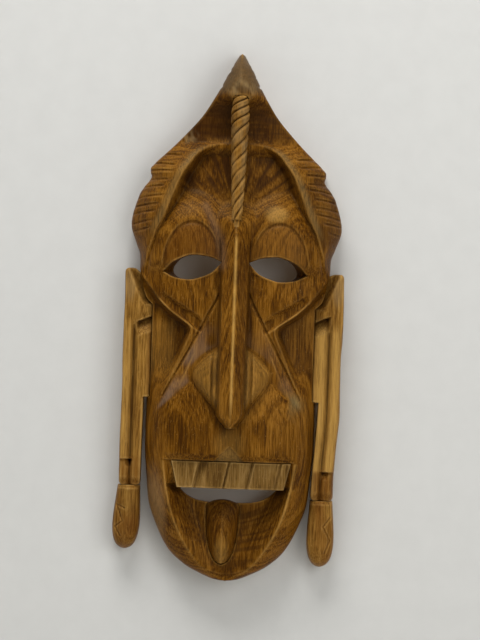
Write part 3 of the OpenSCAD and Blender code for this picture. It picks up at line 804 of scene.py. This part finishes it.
def lay_patches(n, colour, fibre):
    """The tint of each point over the wood, with its fibres showing."""
    patch = n.add("ShaderNodeAttribute", attribute_name="tint")
    fresh = n.blend(n.plus(0.15, n.times(fibre, 1.6)), BLACK, patch.outputs["Color"])
    return n.blend(patch.outputs["Alpha"], colour, fresh)


def age_shade_and_highlight(n, colour, blotch, wax_and_shade, rubbed_and_gleam):
    """Dark wax and painted shade in recesses and cuts, and pale rubbed edges with a painted highlight."""
    recess_shade, sunk = n.times(n.value("recess_shade"), RECESS_SHADE), n.times(n.value("sunk"), SUNK_WAX_AND_SHADE)
    colour = n.blend(n.plus(recess_shade, sunk, clamp=True), colour, wax_and_shade)
    patchy = n.maths("SUBTRACT", n.times(blotch, 1.9), 0.35, clamp=True)
    return n.blend(n.times(n.times(n.value("worn_and_highlight"), patchy), WORN_AND_HIGHLIGHT_SHARE), colour, rubbed_and_gleam)


# The last two colours serve as dark pores and wax with painted shade, and as pale specks and rubbed wood with
# a painted highlight
def wood(name, dark, mid, light, wax_and_shade, rubbed_and_gleam, pith=(0.006, 0.055)):
    """Waxed wood with growth rings, fibres, pores and specks, patches, recesses darkened by wax and painted
    shade, and worn edges with a painted highlight.
    """
    n = Nodes(name)
    wax_and_shade, rubbed_and_gleam = (*linear(*wax_and_shade), 1), (*linear(*rubbed_and_gleam), 1)
    fibre = n.noise(FIBRE, 4.0, 0.62)
    blotch = n.noise(BLOTCH, 3.0)
    pores = n.above(n.noise(PORE, 1.0), 0.58, 5.0)
    specks = n.above(n.noise(SPECK, 2.0), 0.62, 5.0)
    parts = zip((growth_rings(n, pith), fibre, blotch), TONE_SHARES)
    tone = reduce(n.plus, [n.times(part, share) for part, share in parts])
    colour = n.ramp(tone, [(stop, linear(*c)) for stop, c in zip(TONE_STOPS, (dark, mid, light))])
    colour = n.blend(n.times(pores, PORE_SHARE), colour, wax_and_shade)
    colour = n.blend(n.times(specks, SPECK_SHARE), colour, rubbed_and_gleam)
    colour = age_shade_and_highlight(n, lay_patches(n, colour, fibre), blotch, wax_and_shade, rubbed_and_gleam)
    n.put(n.shader.inputs["Specular IOR Level"], WAX_GLEAM)
    n.put(n.shader.inputs["Specular Tint"], WAX_TINT)
    grain = n.maths("SUBTRACT", n.times(fibre, 0.8), n.times(pores, 0.9))
    return n.surface(colour, n.plus(0.3, n.times(fibre, 0.2)), grain, BUMP_STRENGTH, BUMP_DEEP)


def face_wood():
    return wood("face_wood", (60, 32, 4), (100, 61, 9), (136, 91, 28), (34, 16, 4), (176, 132, 66))


def teeth_wood():
    return wood("teeth_wood", (84, 58, 24), (112, 82, 38), (140, 108, 60), (40, 22, 8), (170, 136, 82))


def ear_wood():
    """Paler wood, sawn from further out of the trunk."""
    return wood("ear_wood", (88, 55, 17), (130, 91, 36), (166, 124, 58), (46, 25, 7), (190, 150, 84),
                pith=(0.0, -0.2))


def steel():
    """Zinc-plated steel: cloudy, finely brushed and slightly dulled."""
    n = Nodes("zinc_steel")
    cloud = n.noise((0.004, 0.004, 0.006), 3.0)
    brushed = n.noise((0.0003, 0.003, 0.004), 2.0)
    colour = n.ramp(cloud, [(0.35, linear(150, 147, 140)), (0.65, linear(196, 194, 188))])
    n.put(n.shader.inputs["Metallic"], 1.0)
    return n.surface(colour, n.plus(0.28, n.times(cloud, 0.25)), brushed, 0.15, 0.0002)


def bare_wood():
    """Turned pale wood with fine fibres along its length."""
    n = Nodes("bare_wood")
    fibre = n.noise((0.006, 0.0005, 0.006), 3.0)
    colour = n.ramp(fibre, [(0.35, linear(156, 122, 78)), (0.65, linear(196, 164, 116))])
    return n.surface(colour, n.plus(0.5, n.times(fibre, 0.3)), fibre, 0.3, 0.0003)


def dress(material, *nodes):
    """Gives solids that are shown as they are a finished material."""
    for node in nodes:
        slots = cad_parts[node].data.materials
        slots.clear()
        slots.append(material)


# Patches of colour, as the photograph shows them: each is a colour and its share at every point
PALE = linear(146, 120, 80)
HONEY = linear(168, 128, 62)
GOLD = linear(184, 142, 72)
LILAC = linear(128, 104, 84)
OLIVE = linear(126, 106, 66)
SHEEN_GREY = linear(84, 67, 44)
STAIN = linear(52, 27, 7)
RUST = linear(104, 60, 16)
BARE = linear(186, 148, 98)
BARE_SHARE = 0.62
FAN_Z = BRAID_LOW_Z + 1
FRONT_D = (EDGE_D, EDGE_D + 6)
JAW_LOW_Z = 5

# Oval patches, as middle and radii in x and z
TIP_SCUFF = ((1, 423), (13, 9))
EDGE_SCUFF = ((-44, 383), (9, 7))
BROW_SPOT = ((34, 317), (11, 8))
BAND_SPOT = ((57, 150), (9, 14))
LIP_SPOT = ((0, LIP_Z + 15), (15, 15))
JAW_GREY = ((-66, 54), (14, 46))
JAW_GLOW = ((-66, 54), (14, 40))
EAR_BLEACH = ((90, 254), (6, 16))


def cap_patches(x, z, front):
    """Slope beside the braid darkened by painted shade, with level streaks; streaked forehead; pale rim with a
    painted highlight; tip greyed by a painted sheen, and scuffed.
    """
    rim = np.abs(x) - curve(np.minimum(z, ARCH_Z), ARCH)
    slope = between(z, ARCH_Z - 2, ARCH_Z + 8, BRAID_TOP_Z - 12, BRAID_TOP_Z + 2) * front
    hair = between(z, CAP_Z - 21, CAP_Z - 11, CAP_Z + 34, CAP_Z + 46)
    streak = ease(wobble(71, x / 16, z / 1.7), -0.5, 0.6)
    fan = ease(wobble(83, np.arctan2(x, z - FAN_Z) * 22, np.hypot(x, z - FAN_Z) / 30), -0.3, 0.6)
    fore = fall(rim, -5, 1) * between(z, BRAID_LOW_Z + 11, ARCH_Z - 33, ARCH_Z - 16, ARCH_Z - 2)
    scuff = ease(wobble(73, x / 3 + z / 9, z / 4), -0.6, 0.5) * front
    # Painted shade on the downward slope beside the braid, with level streaks, deepest left of the middle
    return [(STAIN, (0.58 + 0.3 * streak) * slope),
            (STAIN, 0.65 * fall(x, -8, 0) * slope),
            (STAIN, 0.35 * ease(x, 58, 66) * hair * front),
            (STAIN, (0.3 + 0.65 * fan) * fore),
            # Pale rim: its own paler tone with a painted highlight along the ridge
            (OLIVE, 0.35 * bell(rim - 4, 3.5) * between(z, CAP_Z - 16, CAP_Z + 4, ARCH_Z - 10, ARCH_Z)),
            # Grey cast of a painted sheen on the tip
            (SHEEN_GREY, 0.8 * ease(z, BRAID_TOP_Z - 2, BRAID_TOP_Z + 8) * front),
            (PALE, 0.5 * scuff * spot(x, z, *TIP_SCUFF)),
            (PALE, 0.35 * scuff * spot(x, z, *EDGE_SCUFF)),
            (HONEY, 0.45 * spot(x, z, *BROW_SPOT) * front)]


def lid_patches(x, z):
    """Reddish lids with painted shade in the crease along their edge, the left one darker."""
    a = np.abs(x)
    lid = oval(a, z, LID_AT, LID_R)
    on_lid = fall(lid, 0.9, 1.1) * ease(z, EYE_Z, EYE_Z + 4)
    edge = bell((lid - 1) * LID_EDGE, 1.3) * ease(z, EYE_Z, EYE_Z + 4) * ease(a, 12, 20)
    return [(RUST, 0.35 * on_lid),
            (STAIN, by_side(x, 0.22, 0) * on_lid),
            # Painted shade in the crease round the top of the lid
            (STAIN, 0.45 * edge),
            (HONEY, by_side(x, 0, 0.08) * on_lid)]


def cheek_patches(x, z, front):
    """Painted shade at the foot of the ridge, at the foot of the nose and on the right face of the nose,
    honey-coloured wings and the two unlike cheeks.
    """
    a = np.abs(x)
    on_wing = ease(wing_inside(a, z), 0, 5) * ease(a, 10, 12)
    shaded_nose_side = between(z, NOSE_TIP_Z + 16, NOSE_TIP_Z + 31, NOSE_ROOT_Z - 12, NOSE_ROOT_Z + 3)
    nose_foot_shade = between(z, NOSE_TIP_Z + 8, NOSE_TIP_Z + 18, EYE_Z - 4, EYE_Z + 6)
    right = between(z, WING_Z - 15, WING_Z + 15, NOSE_MID_Z - 4, NOSE_MID_Z + 6)
    left = between(z, WING_Z - 15, WING_Z + 15, NOSE_MID_Z - 8, NOSE_MID_Z + 2)
    # Painted shade below the cheek ridge
    return [(STAIN, 0.45 * bell(from_path(RIDGE_FOOT, a, z), 3) * front),
            (HONEY, 0.25 * on_wing * front),
            # Painted shade at the foot of the nose, and on its right face
            (STAIN, 0.5 * bell(a - NOSE_FOOT, 1.2) * nose_foot_shade * front),
            (STAIN, 0.36 * between(x, 2, 4, 9, 12) * shaded_nose_side),
            (STAIN, 0.24 * ease(x, 44, 52) * right * front),
            (HONEY, 0.15 * fall(x, -54, -46) * left * front)]


def band_patches(x, z, front):
    """Painted sheen on the planed bands beside the nose, lilac on the left and olive at the right one's lower
    end.
    """
    a = np.abs(x)
    patch = ease(wobble(75, x / 9, z / 13), -0.9, 0.5) * front
    inside = np.minimum(beside(FOLD[2], FOLD[1], a, z), -beside(*FOLD_END, a, z))
    off_wing = 1 - ease(wing_inside(a, z), -3, 0)
    upper = fall(z, NOSE_MID_Z - 26, NOSE_MID_Z)
    on_band = ease(inside, -0.5, 3) * upper * ease(a, 10, 14) * off_wing * patch
    lower = fall(z, WING_Z - 20, WING_Z - 5)
    return [(STAIN, by_side(x, 0, 0.15) * on_band),
            # Lilac and olive: painted sheen on the planed bands
            (LILAC, 0.55 * on_band * by_side(x, 1, 0.35 * (1 - lower))),
            (OLIVE, by_side(x, 0, 0.5) * on_band * lower),
            (OLIVE, 0.5 * spot(x, z, *BAND_SPOT) * patch)]


def nose_patches(x, z, front):
    """Rubbed crest with a painted highlight along it, and darker valleys at the root."""
    valley = bell(from_path(VALLEY, np.abs(x), z), 4) * front
    crest = between(z, NOSE_TIP_Z + 6, NOSE_TIP_Z + 26, NOSE_ROOT_Z - 5, NOSE_ROOT_Z + 2)
    # Rubbed crest with a painted highlight along it
    return [(GOLD, 0.75 * bell(x - 0.3, 1.1) * crest),
            (STAIN, 0.3 * valley),
            (LILAC, by_side(x, 0.25, 0) * valley)]


def jaw_patches(x, z, front):
    """Dark bowl with arcs and a pale rim carrying a painted highlight, stronger on the right, honey-coloured
    place over the teeth and greyed side of the jaw.
    """
    a = np.abs(x)
    inside = curve(np.clip(z, JAW_LOW_Z, LIP_Z), BOWL) - a
    jaw = (z > JAW_LOW_Z) * front
    bowl = ease(inside, 1, 6) * (z < MOUTH_Z) * jaw
    rim = bell(inside + 0.5, 1.3) * (z < LIP_Z) * jaw
    arcs = ease(wobble(85, np.hypot(x / 1.3, z - 95) / 1.8, x / 25), -0.2, 0.6)
    over_teeth = (z > LIP_Z) * front
    return [(STAIN, (0.25 + 0.4 * arcs) * bowl * by_side(x, 0.6, 1)),
            # Painted highlight on the rim of the bowl, stronger on the right
            (HONEY, 0.35 * rim * by_side(x, 0.5, 1)),
            (HONEY, 0.2 * spot(x, z, *LIP_SPOT) * over_teeth),
            (OLIVE, 0.3 * ease(philtrum_inside(a, z), 0, 2) * over_teeth),
            (LILAC, 0.45 * spot(x, z, *JAW_GREY) * (1 - bowl)),
            (HONEY, 0.25 * spot(x, z, *JAW_GLOW) * (1 - bowl))]


def face_patches(place):
    x, d, z = place.T
    front = ease(d, *FRONT_D)
    patches = cap_patches(x, z, front) + lid_patches(x, z)
    for more in (cheek_patches, band_patches, nose_patches, jaw_patches):
        patches += more(x, z, front)
    return patches


# Voxel sizes
FACE_VOXEL = 0.8
EAR_VOXEL = 0.6
FINE_VOXEL = 0.5


def build_face():
    low, high = FACE_LOW - (0, 0, CHIN_CUT), FACE_HIGH + (0, 0, TIP_CUT)
    obj, place = carve("carved_face", low, high, FACE_VOXEL, face_solid)
    tint(obj, face_patches(place) + [(BARE, BARE_SHARE * back_facing(obj))])
    finish_piece(obj, "face", "face_wood")


# Braid: a tapered rod with three cuts that wind round it, closer together near the top
BRAID_LOW = (NOSE_D - 29, BRAID_LOW_Z)
BRAID_TOP = (CAP_RIM_D - 1, BRAID_TOP_Z)
BRAID_L = math.hypot(BRAID_TOP[0] - BRAID_LOW[0], BRAID_TOP[1] - BRAID_LOW[1])
BRAID_R = (4, 8.5)
BRAID_NECK = 2
BRAID_STARTS = 3
TURN_L = 36
TIGHT_FROM = 80
STRAND = 1.1
TENON_R = 2.5
TENON_L = 6


def braid_frame(x, d, z):
    """Distance along the braid's axis and from it, and angle round it from the front."""
    ud, uz = (BRAID_TOP[0] - BRAID_LOW[0]) / BRAID_L, (BRAID_TOP[1] - BRAID_LOW[1]) / BRAID_L
    along = (d - BRAID_LOW[0]) * ud + (z - BRAID_LOW[1]) * uz
    across = (d - BRAID_LOW[0]) * uz - (z - BRAID_LOW[1]) * ud
    return along, np.hypot(x, across), np.arctan2(x, across)


def braid_r(along):
    share = unit(along / BRAID_L)
    return mix(*BRAID_R, share ** 0.7) - BRAID_NECK * ease(share, 0.84, 1)


def past_ends(along):
    """Distance beyond the nearer end of the braid."""
    return np.abs(along - BRAID_L / 2) - BRAID_L / 2


def braid_seat(x, d, z):
    along, off, _ = braid_frame(x, d, z)
    return within(off - braid_r(along) - GLUE_GAP, past_ends(along))


def braid_solid(x, d, z):
    along, off, angle = braid_frame(x, d, z)
    turns = along / TURN_L + past(along, TIGHT_FROM) ** 2 / 1500 + 0.035 * wobble(15, along / 13)
    phase = BRAID_STARTS * (angle / (2 * np.pi) - turns)
    from_cut = np.abs(phase - np.floor(phase) - 0.5)
    uneven = STRAND * (1 + 0.45 * wobble(17, along / 7))
    r = braid_r(along) - uneven * (fall(from_cut, 0, 0.3) + bell(from_cut, 0.06))
    body = soft_max(off - r, past_ends(along) + GLUE_GAP, 1.5)
    tenon = within(off - TENON_R, past_ends(along) - TENON_L)
    return np.minimum(body, tenon)


def build_braid():
    obj, place = carve("twisted_braid", *box_mm("forehead_braid"), FINE_VOXEL, braid_solid)
    x, d, z = place.T
    rubbed = ease(wobble(77, x / 5, z / 12), -0.8, 0.6)
    front = ease(d, BRAID_LOW[0] - 6, BRAID_LOW[0] + 2)
    tint(obj, [(HONEY, np.full(len(z), 0.1)), (PALE, (0.05 + 0.35 * rubbed) * front)])
    finish_piece(obj, "forehead_braid", "face_wood")


# Teeth: cuts as place, width to the left, width to the right and depth
TOOTH_CUTS = [(-26.5, 2.5, 6, 3.2), (-2, 1.2, 1.8, 2.2), (18, 7, 2, 3), (42.5, 1.5, 1.5, 1.4)]
TOOTH_LEAN = 0.2
TEETH_SLANT = 0.24
TEETH_X = (TEETH_LOW[0] + TEETH_HIGH[0]) / 2
TEETH_BEND = 660


def teeth_front(x, z):
    """Slightly bowed row with leaning cuts."""
    front = TEETH_HIGH[1] - (x - TEETH_X) ** 2 / TEETH_BEND
    for place, left, right, depth in TOOTH_CUTS:
        off = x - place - TOOTH_LEAN * (z - MOUTH_Z - 11)
        front = front - depth * unit(1 - np.maximum(-off / left, off / right))
    return front + tool_marks(31, x, z, 0.25)


def teeth_ends(x, z):
    """Ends of the row, which draw in towards the bottom."""
    inset = TEETH_SLANT * (TEETH_HIGH[2] - z)
    return within(TEETH_LOW[0] + inset - x, x - TEETH_HIGH[0] + inset)


def teeth_seat(x, d, z):
    high = TEETH_HIGH + GLUE_GAP + (0, NOSE_D, 0)
    return within(block(x, d, z, TEETH_LOW - GLUE_GAP, high), teeth_ends(x, z) - GLUE_GAP)


def teeth_solid(x, d, z):
    body = within(block(x, d, z, TEETH_LOW, TEETH_HIGH), teeth_ends(x, z))
    return soft_max(body, under(teeth_front(x, z), d), 0.8)


def build_teeth():
    obj, _ = carve("tooth_row", TEETH_LOW, TEETH_HIGH, FINE_VOXEL, teeth_solid)
    tint(obj)
    finish_piece(obj, "upper_teeth", "teeth_wood")


# Tongue: a long swelling on the floor of the jaw
TONGUE_X = (TONGUE_LOW[0] + TONGUE_HIGH[0]) / 2
TONGUE_HALF_W = (TONGUE_HIGH[0] - TONGUE_LOW[0]) / 2
TONGUE_L = TONGUE_HIGH[2] - TONGUE_LOW[2]
TONGUE_POINT = 0.4
TONGUE_DROP = 4.2
TONGUE_ARC = (20, 170)


def tongue_w(z):
    """Half width of the tongue, blunt at its point and drawn in at its top."""
    share = unit((z - TONGUE_LOW[2] + TONGUE_POINT) / (TONGUE_L + TONGUE_POINT))
    return TONGUE_HALF_W * (1 - (1 - share) ** 2.6) ** 0.45 * (1 - 0.24 * ease(share, 0.84, 1) ** 2)


def tongue_front(x, z):
    """Long swelling with a ridge down its middle."""
    share = np.clip((z - TONGUE_LOW[2]) / TONGUE_L, 0.002, 1)
    s = unit(np.abs(x - TONGUE_X) / np.maximum(tongue_w(z), 0.5))
    along = np.sin(np.radians(mix(*TONGUE_ARC, share ** 0.7))) ** 0.7
    across = (1 - 0.6 * s ** 1.4) * (1 - 0.3 * s ** 6)
    foot = TONGUE_LOW[1] + TONGUE_SET
    return foot + (TONGUE_HIGH[1] - foot) * along * across + tool_marks(41, x, z, 0.3)


def tongue_seat(x, d, z):
    side = np.abs(x - TONGUE_X) - tongue_w(z) - GLUE_GAP
    floor = TONGUE_LOW[1] - GLUE_GAP - d
    return within(side, floor, TONGUE_LOW[2] - 1 - z, z - TONGUE_HIGH[2])


def tongue_solid(x, d, z):
    off = np.abs(x - TONGUE_X)
    dome = TONGUE_DROP * (off / TONGUE_HALF_W) ** 2
    outline = within(off - tongue_w(z), TONGUE_LOW[2] - z, z - TONGUE_HIGH[2] + dome)
    return within(soft_max(under(tongue_front(x, z), d), outline, 2), TONGUE_LOW[1] - d)


def build_tongue():
    obj, place = carve("carved_tongue", TONGUE_LOW, TONGUE_HIGH, FINE_VOXEL, tongue_solid)
    x, _, z = place.T
    share = (z - TONGUE_LOW[2]) / TONGUE_L
    point = (TONGUE_X, TONGUE_LOW[2] + 0.17 * TONGUE_L)
    tip = spot(x, z, point, (0.45 * TONGUE_HALF_W, 0.3 * TONGUE_L))
    # Painted shadow under the teeth, deepening towards the top, and a painted highlight on the tip
    tint(obj, [(STAIN, 0.1 + 0.3 * ease(share, 0.3, 0.8)), (HONEY, 0.26 * tip)])
    finish_piece(obj, "tongue", "face_wood")


# Ears: p runs outwards from the middle of the face, with the lean of the lower half taken off
LEAN = {-1: 0.5, 1: -4}
EAR_LOW_Z = {s: box_mm(name + "_ear")[0][2] for s, name in SIDES.items()}
STEP_Z = {-1: 103, 1: 97}
STRIP_TOP_Z = 226
VALLEY_P = {-1: EAR_OUT - 10, 1: EAR_OUT - 12}
OUTER_OFF = 6
INNER_OFF = -7.5
INNER_SET = 0.8
VALLEY_SHADE = {-1: 0.4, 1: 0.2}
INNER_RUST = {-1: 0.5, 1: 0.2}
OUTER_GOLD = {-1: 0.2, 1: 0.6}
INNER_GOLD = {-1: 0, 1: 0.6}
EAR_DIP = {-1: 3.6, 1: 1.6}
EAR_WAVER = 1.1
OVER_EAR = [(236, 69), (243, 75.7), (255, 79.7), (268, 82)]
CONCH = [(78, 234), (93, 269)]
CONCH_DEEP = 6
NOTCH_Z = 226.5
NOTCH_LEAN = 0.42
NOTCH_DEEP = 6.5
LUMP = 1.2
LUMP_OVAL = ((76, 232), (5.5, 5))
STEP_DEEP = 1.8
POCKET_DEEP = 4
KNUCKLE = 2.6


def ear_lean(s, z):
    return LEAN[s] * fall(z, EAR_LOW_Z[1], EAR_JOINT_Z)


def under_lump(s, p, z):
    """Distance below the slanting edge of the lump over the notch."""
    return NOTCH_Z + NOTCH_LEAN * s * (p - 72) - z


def ear_strips(s, p):
    """Outer strip and finger-like inner strip with a soft valley between them."""
    outer = EAR_D - 0.19 * past(np.abs(p - VALLEY_P[s] - OUTER_OFF), 1) ** 2
    inner = EAR_D - INNER_SET - 0.1 * past(np.abs(p - VALLEY_P[s] - INNER_OFF), 2) ** 2
    return soft_max(outer, inner, 1.2)


def ear_step(s, p, z):
    """Sunk end of the outer strip, with a pocket at the step."""
    below = STEP_Z[s] - z
    lower = STEP_DEEP * ease(p, VALLEY_P[s] - 3, VALLEY_P[s] + 1) * ease(below, -0.4, 0.5)
    wedge = unit(1 - past(below, 0) / 7)
    return lower + POCKET_DEEP * ease(below, -0.4, 0.6) * wedge * between(p, 83, 85, 86.5, 90.5)


def ear_front(s, x, z):
    """Strips below a scooped notch, a lump and the conch."""
    p = s * x - ear_lean(s, z)
    top = EAR_D - 0.5 - 0.015 * (p - 86) ** 2
    front = mix(top, ear_strips(s, p), fall(z, STRIP_TOP_Z - 14, STRIP_TOP_Z))
    conch = CONCH_DEEP * ease(beside(*CONCH, p, z), -0.4, 6) * ease(z, STRIP_TOP_Z + 10, STRIP_TOP_Z + 16)
    below = under_lump(s, p, z)
    notch = NOTCH_DEEP * ease(below, -0.4, 1.2) * unit(1 - below / 13) * fall(p, 80.5, 84.5)
    lump = LUMP * bell(oval(p, z, *LUMP_OVAL), 1)
    knuckle = KNUCKLE * fall(z, EAR_LOW_Z[s], EAR_LOW_Z[s] + 8)
    cuts = np.maximum(conch, notch) + ear_step(s, p, z) + knuckle
    return front + lump - cuts + tool_marks(50 + s, x, z, 0.4)


def ear_seat(s, x, d, z):
    """Flat seat of an ear in the face, except where the face laps over its front."""
    seat = within(EAR_SEAT - s * x, EAR_JOINT_Z - z, z - EAR_TOP_Z - GLUE_GAP)
    lap = within(np.abs(x) - curve(z, OVER_EAR), ear_front(s, x, z) + GLUE_GAP - d)
    return within(seat, -lap)


def ear_solid(s, x, d, z):
    p = s * x - ear_lean(s, z)
    inner = np.where(z > EAR_JOINT_Z + GLUE_GAP, EAR_SEAT + GLUE_GAP, EAR_IN)
    waver = EAR_WAVER * ease(wobble(83 + s, z / 24), -0.8, 0.8)
    dip = EAR_DIP[s] * fall(p, EAR_OUT - 14, EAR_OUT - 8)
    sides = within(inner - p, p - EAR_OUT + waver)
    ends = within(EAR_LOW_Z[s] - z, z - EAR_TOP_Z + dip)
    f = soft_max(under(ear_front(s, x, z), d), soft_max(sides, ends, 4), 2)
    return soft_max(f, EAR_BACK - d, 1)


def ear_patches(s, place):
    """Painted shade in the valley between the strips, in the conch and in the notch; reddish inner edge and
    lower end, a bleached top corner and gold strips.
    """
    x, _, z = place.T
    p = s * x - ear_lean(s, z)
    strips = between(z, STEP_Z[s] - 2, STEP_Z[s] + 2, STRIP_TOP_Z - 12, STRIP_TOP_Z + 2)
    conch = ease(beside(*CONCH, p, z), 0, 3) * ease(z, STRIP_TOP_Z + 8, STRIP_TOP_Z + 14)
    low_notch = ease(z, STRIP_TOP_Z - 12, STRIP_TOP_Z - 4)
    notch = ease(under_lump(s, p, z), -0.5, 0.5) * low_notch * fall(p, 81, 84)
    # Painted shade in the valley between the strips
    return [(STAIN, VALLEY_SHADE[s] * bell(p - VALLEY_P[s] + 0.5, 2.2) * strips),
            (RUST, 0.5 * fall(z, STEP_Z[s], STEP_Z[s] + 4)),
            # Painted shade in the conch and the notch
            (STAIN, 0.5 * conch),
            (STAIN, 0.45 * notch),
            (RUST, INNER_RUST[s] * fall(p, 71, 75) * fall(z, STRIP_TOP_Z - 12, STRIP_TOP_Z + 10)),
            (PALE, 0.4 * spot(p, z, *EAR_BLEACH) * (1 - conch)),
            (GOLD, OUTER_GOLD[s] * bell(p - VALLEY_P[s] - OUTER_OFF, 4) * strips),
            (GOLD, INNER_GOLD[s] * bell(p - 77, 5) * strips)]


def build_ear(s):
    node = SIDES[s] + "_ear"
    obj, place = carve(node + "_board", *box_mm(node), EAR_VOXEL, partial(ear_solid, s))
    tint(obj, ear_patches(s, place))
    finish_piece(obj, node, "ear_wood")


# Drops: swelling, faceted pieces below the ears with an incised zigzag on the outer half
DROP_SWELL = 2
DROP_LEAN = {-1: 2.5, 1: 0}
DROP_ROUND = 0.985
DROP_STAIN = {-1: 0.2, 1: 0.0}
RIDGE_ROUND = 0.22
OUTER_FACET = (0.34, 0.12)
INNER_FACET = (0.24, 0.22)
DROP_EDGE = 4
DROP_NECK = 2.2
ZIGZAG = {-1: [(2, 20), (9, 17), (3, 31), (9, 36), (4, 44)], 1: [(8, 14), (2, 22), (8, 34), (4, 45)]}
DROP_MID = {s: (EAR_OUT + EAR_IN) / 2 + ear_lean(s, EAR_LOW_Z[s]) for s in SIDES}


def drop_solid(s, x, d, z):
    low, high = box_mm(SIDES[s] + "_ear_drop")
    length = (high[2] - low[2]) / DROP_ROUND
    share = unit((high[2] - z) / length)
    rounded = np.sqrt(unit(1 - share ** 9))
    wide = (EAR_W / 2 + DROP_SWELL * np.sin(np.pi * share ** 1.3)) * rounded
    off = s * x - DROP_MID[s] - DROP_LEAN[s] * share
    w = np.hypot(off / np.maximum(wide, 1), RIDGE_ROUND) - RIDGE_ROUND
    facet = np.where(off > 0, OUTER_FACET[0] * w + OUTER_FACET[1] * w ** 4,
                     INNER_FACET[0] * w + INNER_FACET[1] * w ** 4)
    front = mix(EAR_BACK + DROP_EDGE, EAR_D, (1 - facet) * rounded) - DROP_NECK * fall(share, 0, 0.06)
    front = front - bell(from_path(ZIGZAG[s], off, share * length), 0.6) + tool_marks(60 + s, x, z, 0.4)
    f = soft_max(under(front, d), np.abs(off) - wide, 3)
    f = soft_max(f, z - high[2], 0.8)
    return soft_max(f, EAR_BACK - d, 3)


def build_drop(s):
    node = SIDES[s] + "_ear_drop"
    obj, place = carve(SIDES[s] + "_carved_drop", *box_mm(node), FINE_VOXEL, partial(drop_solid, s))
    x, _, z = place.T
    patchy = ease(wobble(79 + s, x / 8, z / 22), -0.7, 0.7)
    tint(obj, [(STAIN, np.full(len(z), DROP_STAIN[s])), (RUST, 0.5 * patchy)])
    finish_piece(obj, node, "ear_wood")


# Stage, in metres
WALL_GAP = 0.0006
FLOOR_Z = CHIN / MM - 0.12
REACH = 2.5


def paint(name, colour):
    """Matt paint with faint flecks."""
    n = Nodes(name)
    fleck = n.noise((0.02, 0.02, 0.02), 2.0)
    n.put(n.shader.inputs["Base Color"], n.ramp(fleck, [(0.3, [c * 0.97 for c in colour]), (0.7, colour)]))
    n.put(n.shader.inputs["Roughness"], 0.9)
    return n


def plane(name, corners, material):
    mesh = bpy.data.meshes.new(name)
    mesh.from_pydata(corners, [], [range(4)])
    mesh.materials.append(material)
    obj = shown(name, mesh)
    return obj


def build_wall():
    """Wall that is clear when seen from behind."""
    n = paint("wall_paint", linear(205, 204, 200))
    back = n.add("ShaderNodeNewGeometry").outputs["Backfacing"]
    clear = n.add("ShaderNodeBsdfTransparent")
    both = n.add("ShaderNodeMixShader", {0: back, 1: n.shader.outputs[0], 2: clear.outputs[0]})
    n.put(n.tree.nodes["Material Output"].inputs["Surface"], both.outputs[0])
    corners = [(-REACH, FLOOR_Z), (REACH, FLOOR_Z), (REACH, REACH), (-REACH, REACH)]
    wall = plane("wall", [(x, WALL_GAP, z) for x, z in corners], n.material)
    wall.visible_shadow = False


def build_floor():
    corners = [(-REACH, -REACH), (REACH, -REACH), (REACH, REACH), (-REACH, REACH)]
    n = paint("floor_paint", linear(200, 199, 195))
    plane("floor", [(x, y, FLOOR_Z) for x, y in corners], n.material)


# Lamps as name, place, size and power in watts
LAMPS = [("key", (-0.35, -1.0, 1.7), (1.3, 0.9), 42), ("fill", (1.0, -1.6, 0.2), (1.2, 1.2), 12),
         ("rear", (0.3, 1.6, 0.7), (1.5, 1.5), 9)]
LAMP_AIM = Vector((0, 0, -0.18))
SKY = (0.94, 0.97, 1.0, 1)
SKY_STRENGTH = 0.3


def lamp(name, place, size, power):
    data = bpy.data.lights.new(name, "AREA")
    data.shape = "RECTANGLE"
    data.size, data.size_y = size
    data.energy = power
    obj = shown(name, data)
    obj.location = place
    obj.rotation_euler = (LAMP_AIM - Vector(place)).to_track_quat("-Z", "Y").to_euler()


def build_light():
    for values in LAMPS:
        lamp(*values)
    world = bpy.data.worlds.new("room")
    world.use_nodes = True
    bpy.context.scene.world = world
    sky = world.node_tree.nodes["Background"]
    sky.inputs["Color"].default_value = SKY
    sky.inputs["Strength"].default_value = SKY_STRENGTH


# Camera straight in front, a little rolled as in the photograph
MM_PER_PIXEL = 0.865
PIXELS_HIGH = 640
VIEW_CENTRE = (0.0056, -0.182)
CAMERA_AWAY = 3.0
ROLL = 1.95


def build_camera():
    data = bpy.data.cameras.new("camera")
    tall = PIXELS_HIGH * MM_PER_PIXEL / MM
    data.lens = data.sensor_width * CAMERA_AWAY / tall
    obj = shown("camera", data)
    place = (VIEW_CENTRE[0], -EDGE_D / MM - CAMERA_AWAY, VIEW_CENTRE[1])
    upright = Matrix.Rotation(math.pi / 2, 4, "X")
    obj.matrix_world = Matrix.Translation(place) @ Matrix.Rotation(math.radians(-ROLL), 4, "Y") @ upright
    bpy.context.scene.camera = obj


WOODS = {"face_wood": face_wood(), "teeth_wood": teeth_wood(), "ear_wood": ear_wood()}
dress(steel(), "hanger_strap", "hanger_ring", "hanger_screws")
dress(bare_wood(), "ear_dowels", "drop_pegs")
build_face()
build_braid()
build_teeth()
build_tongue()
for side in SIDES:
    build_ear(side)
    build_drop(side)
build_wall()
build_floor()
build_light()
build_camera()
bpy.context.scene.view_settings.view_transform = "Standard"
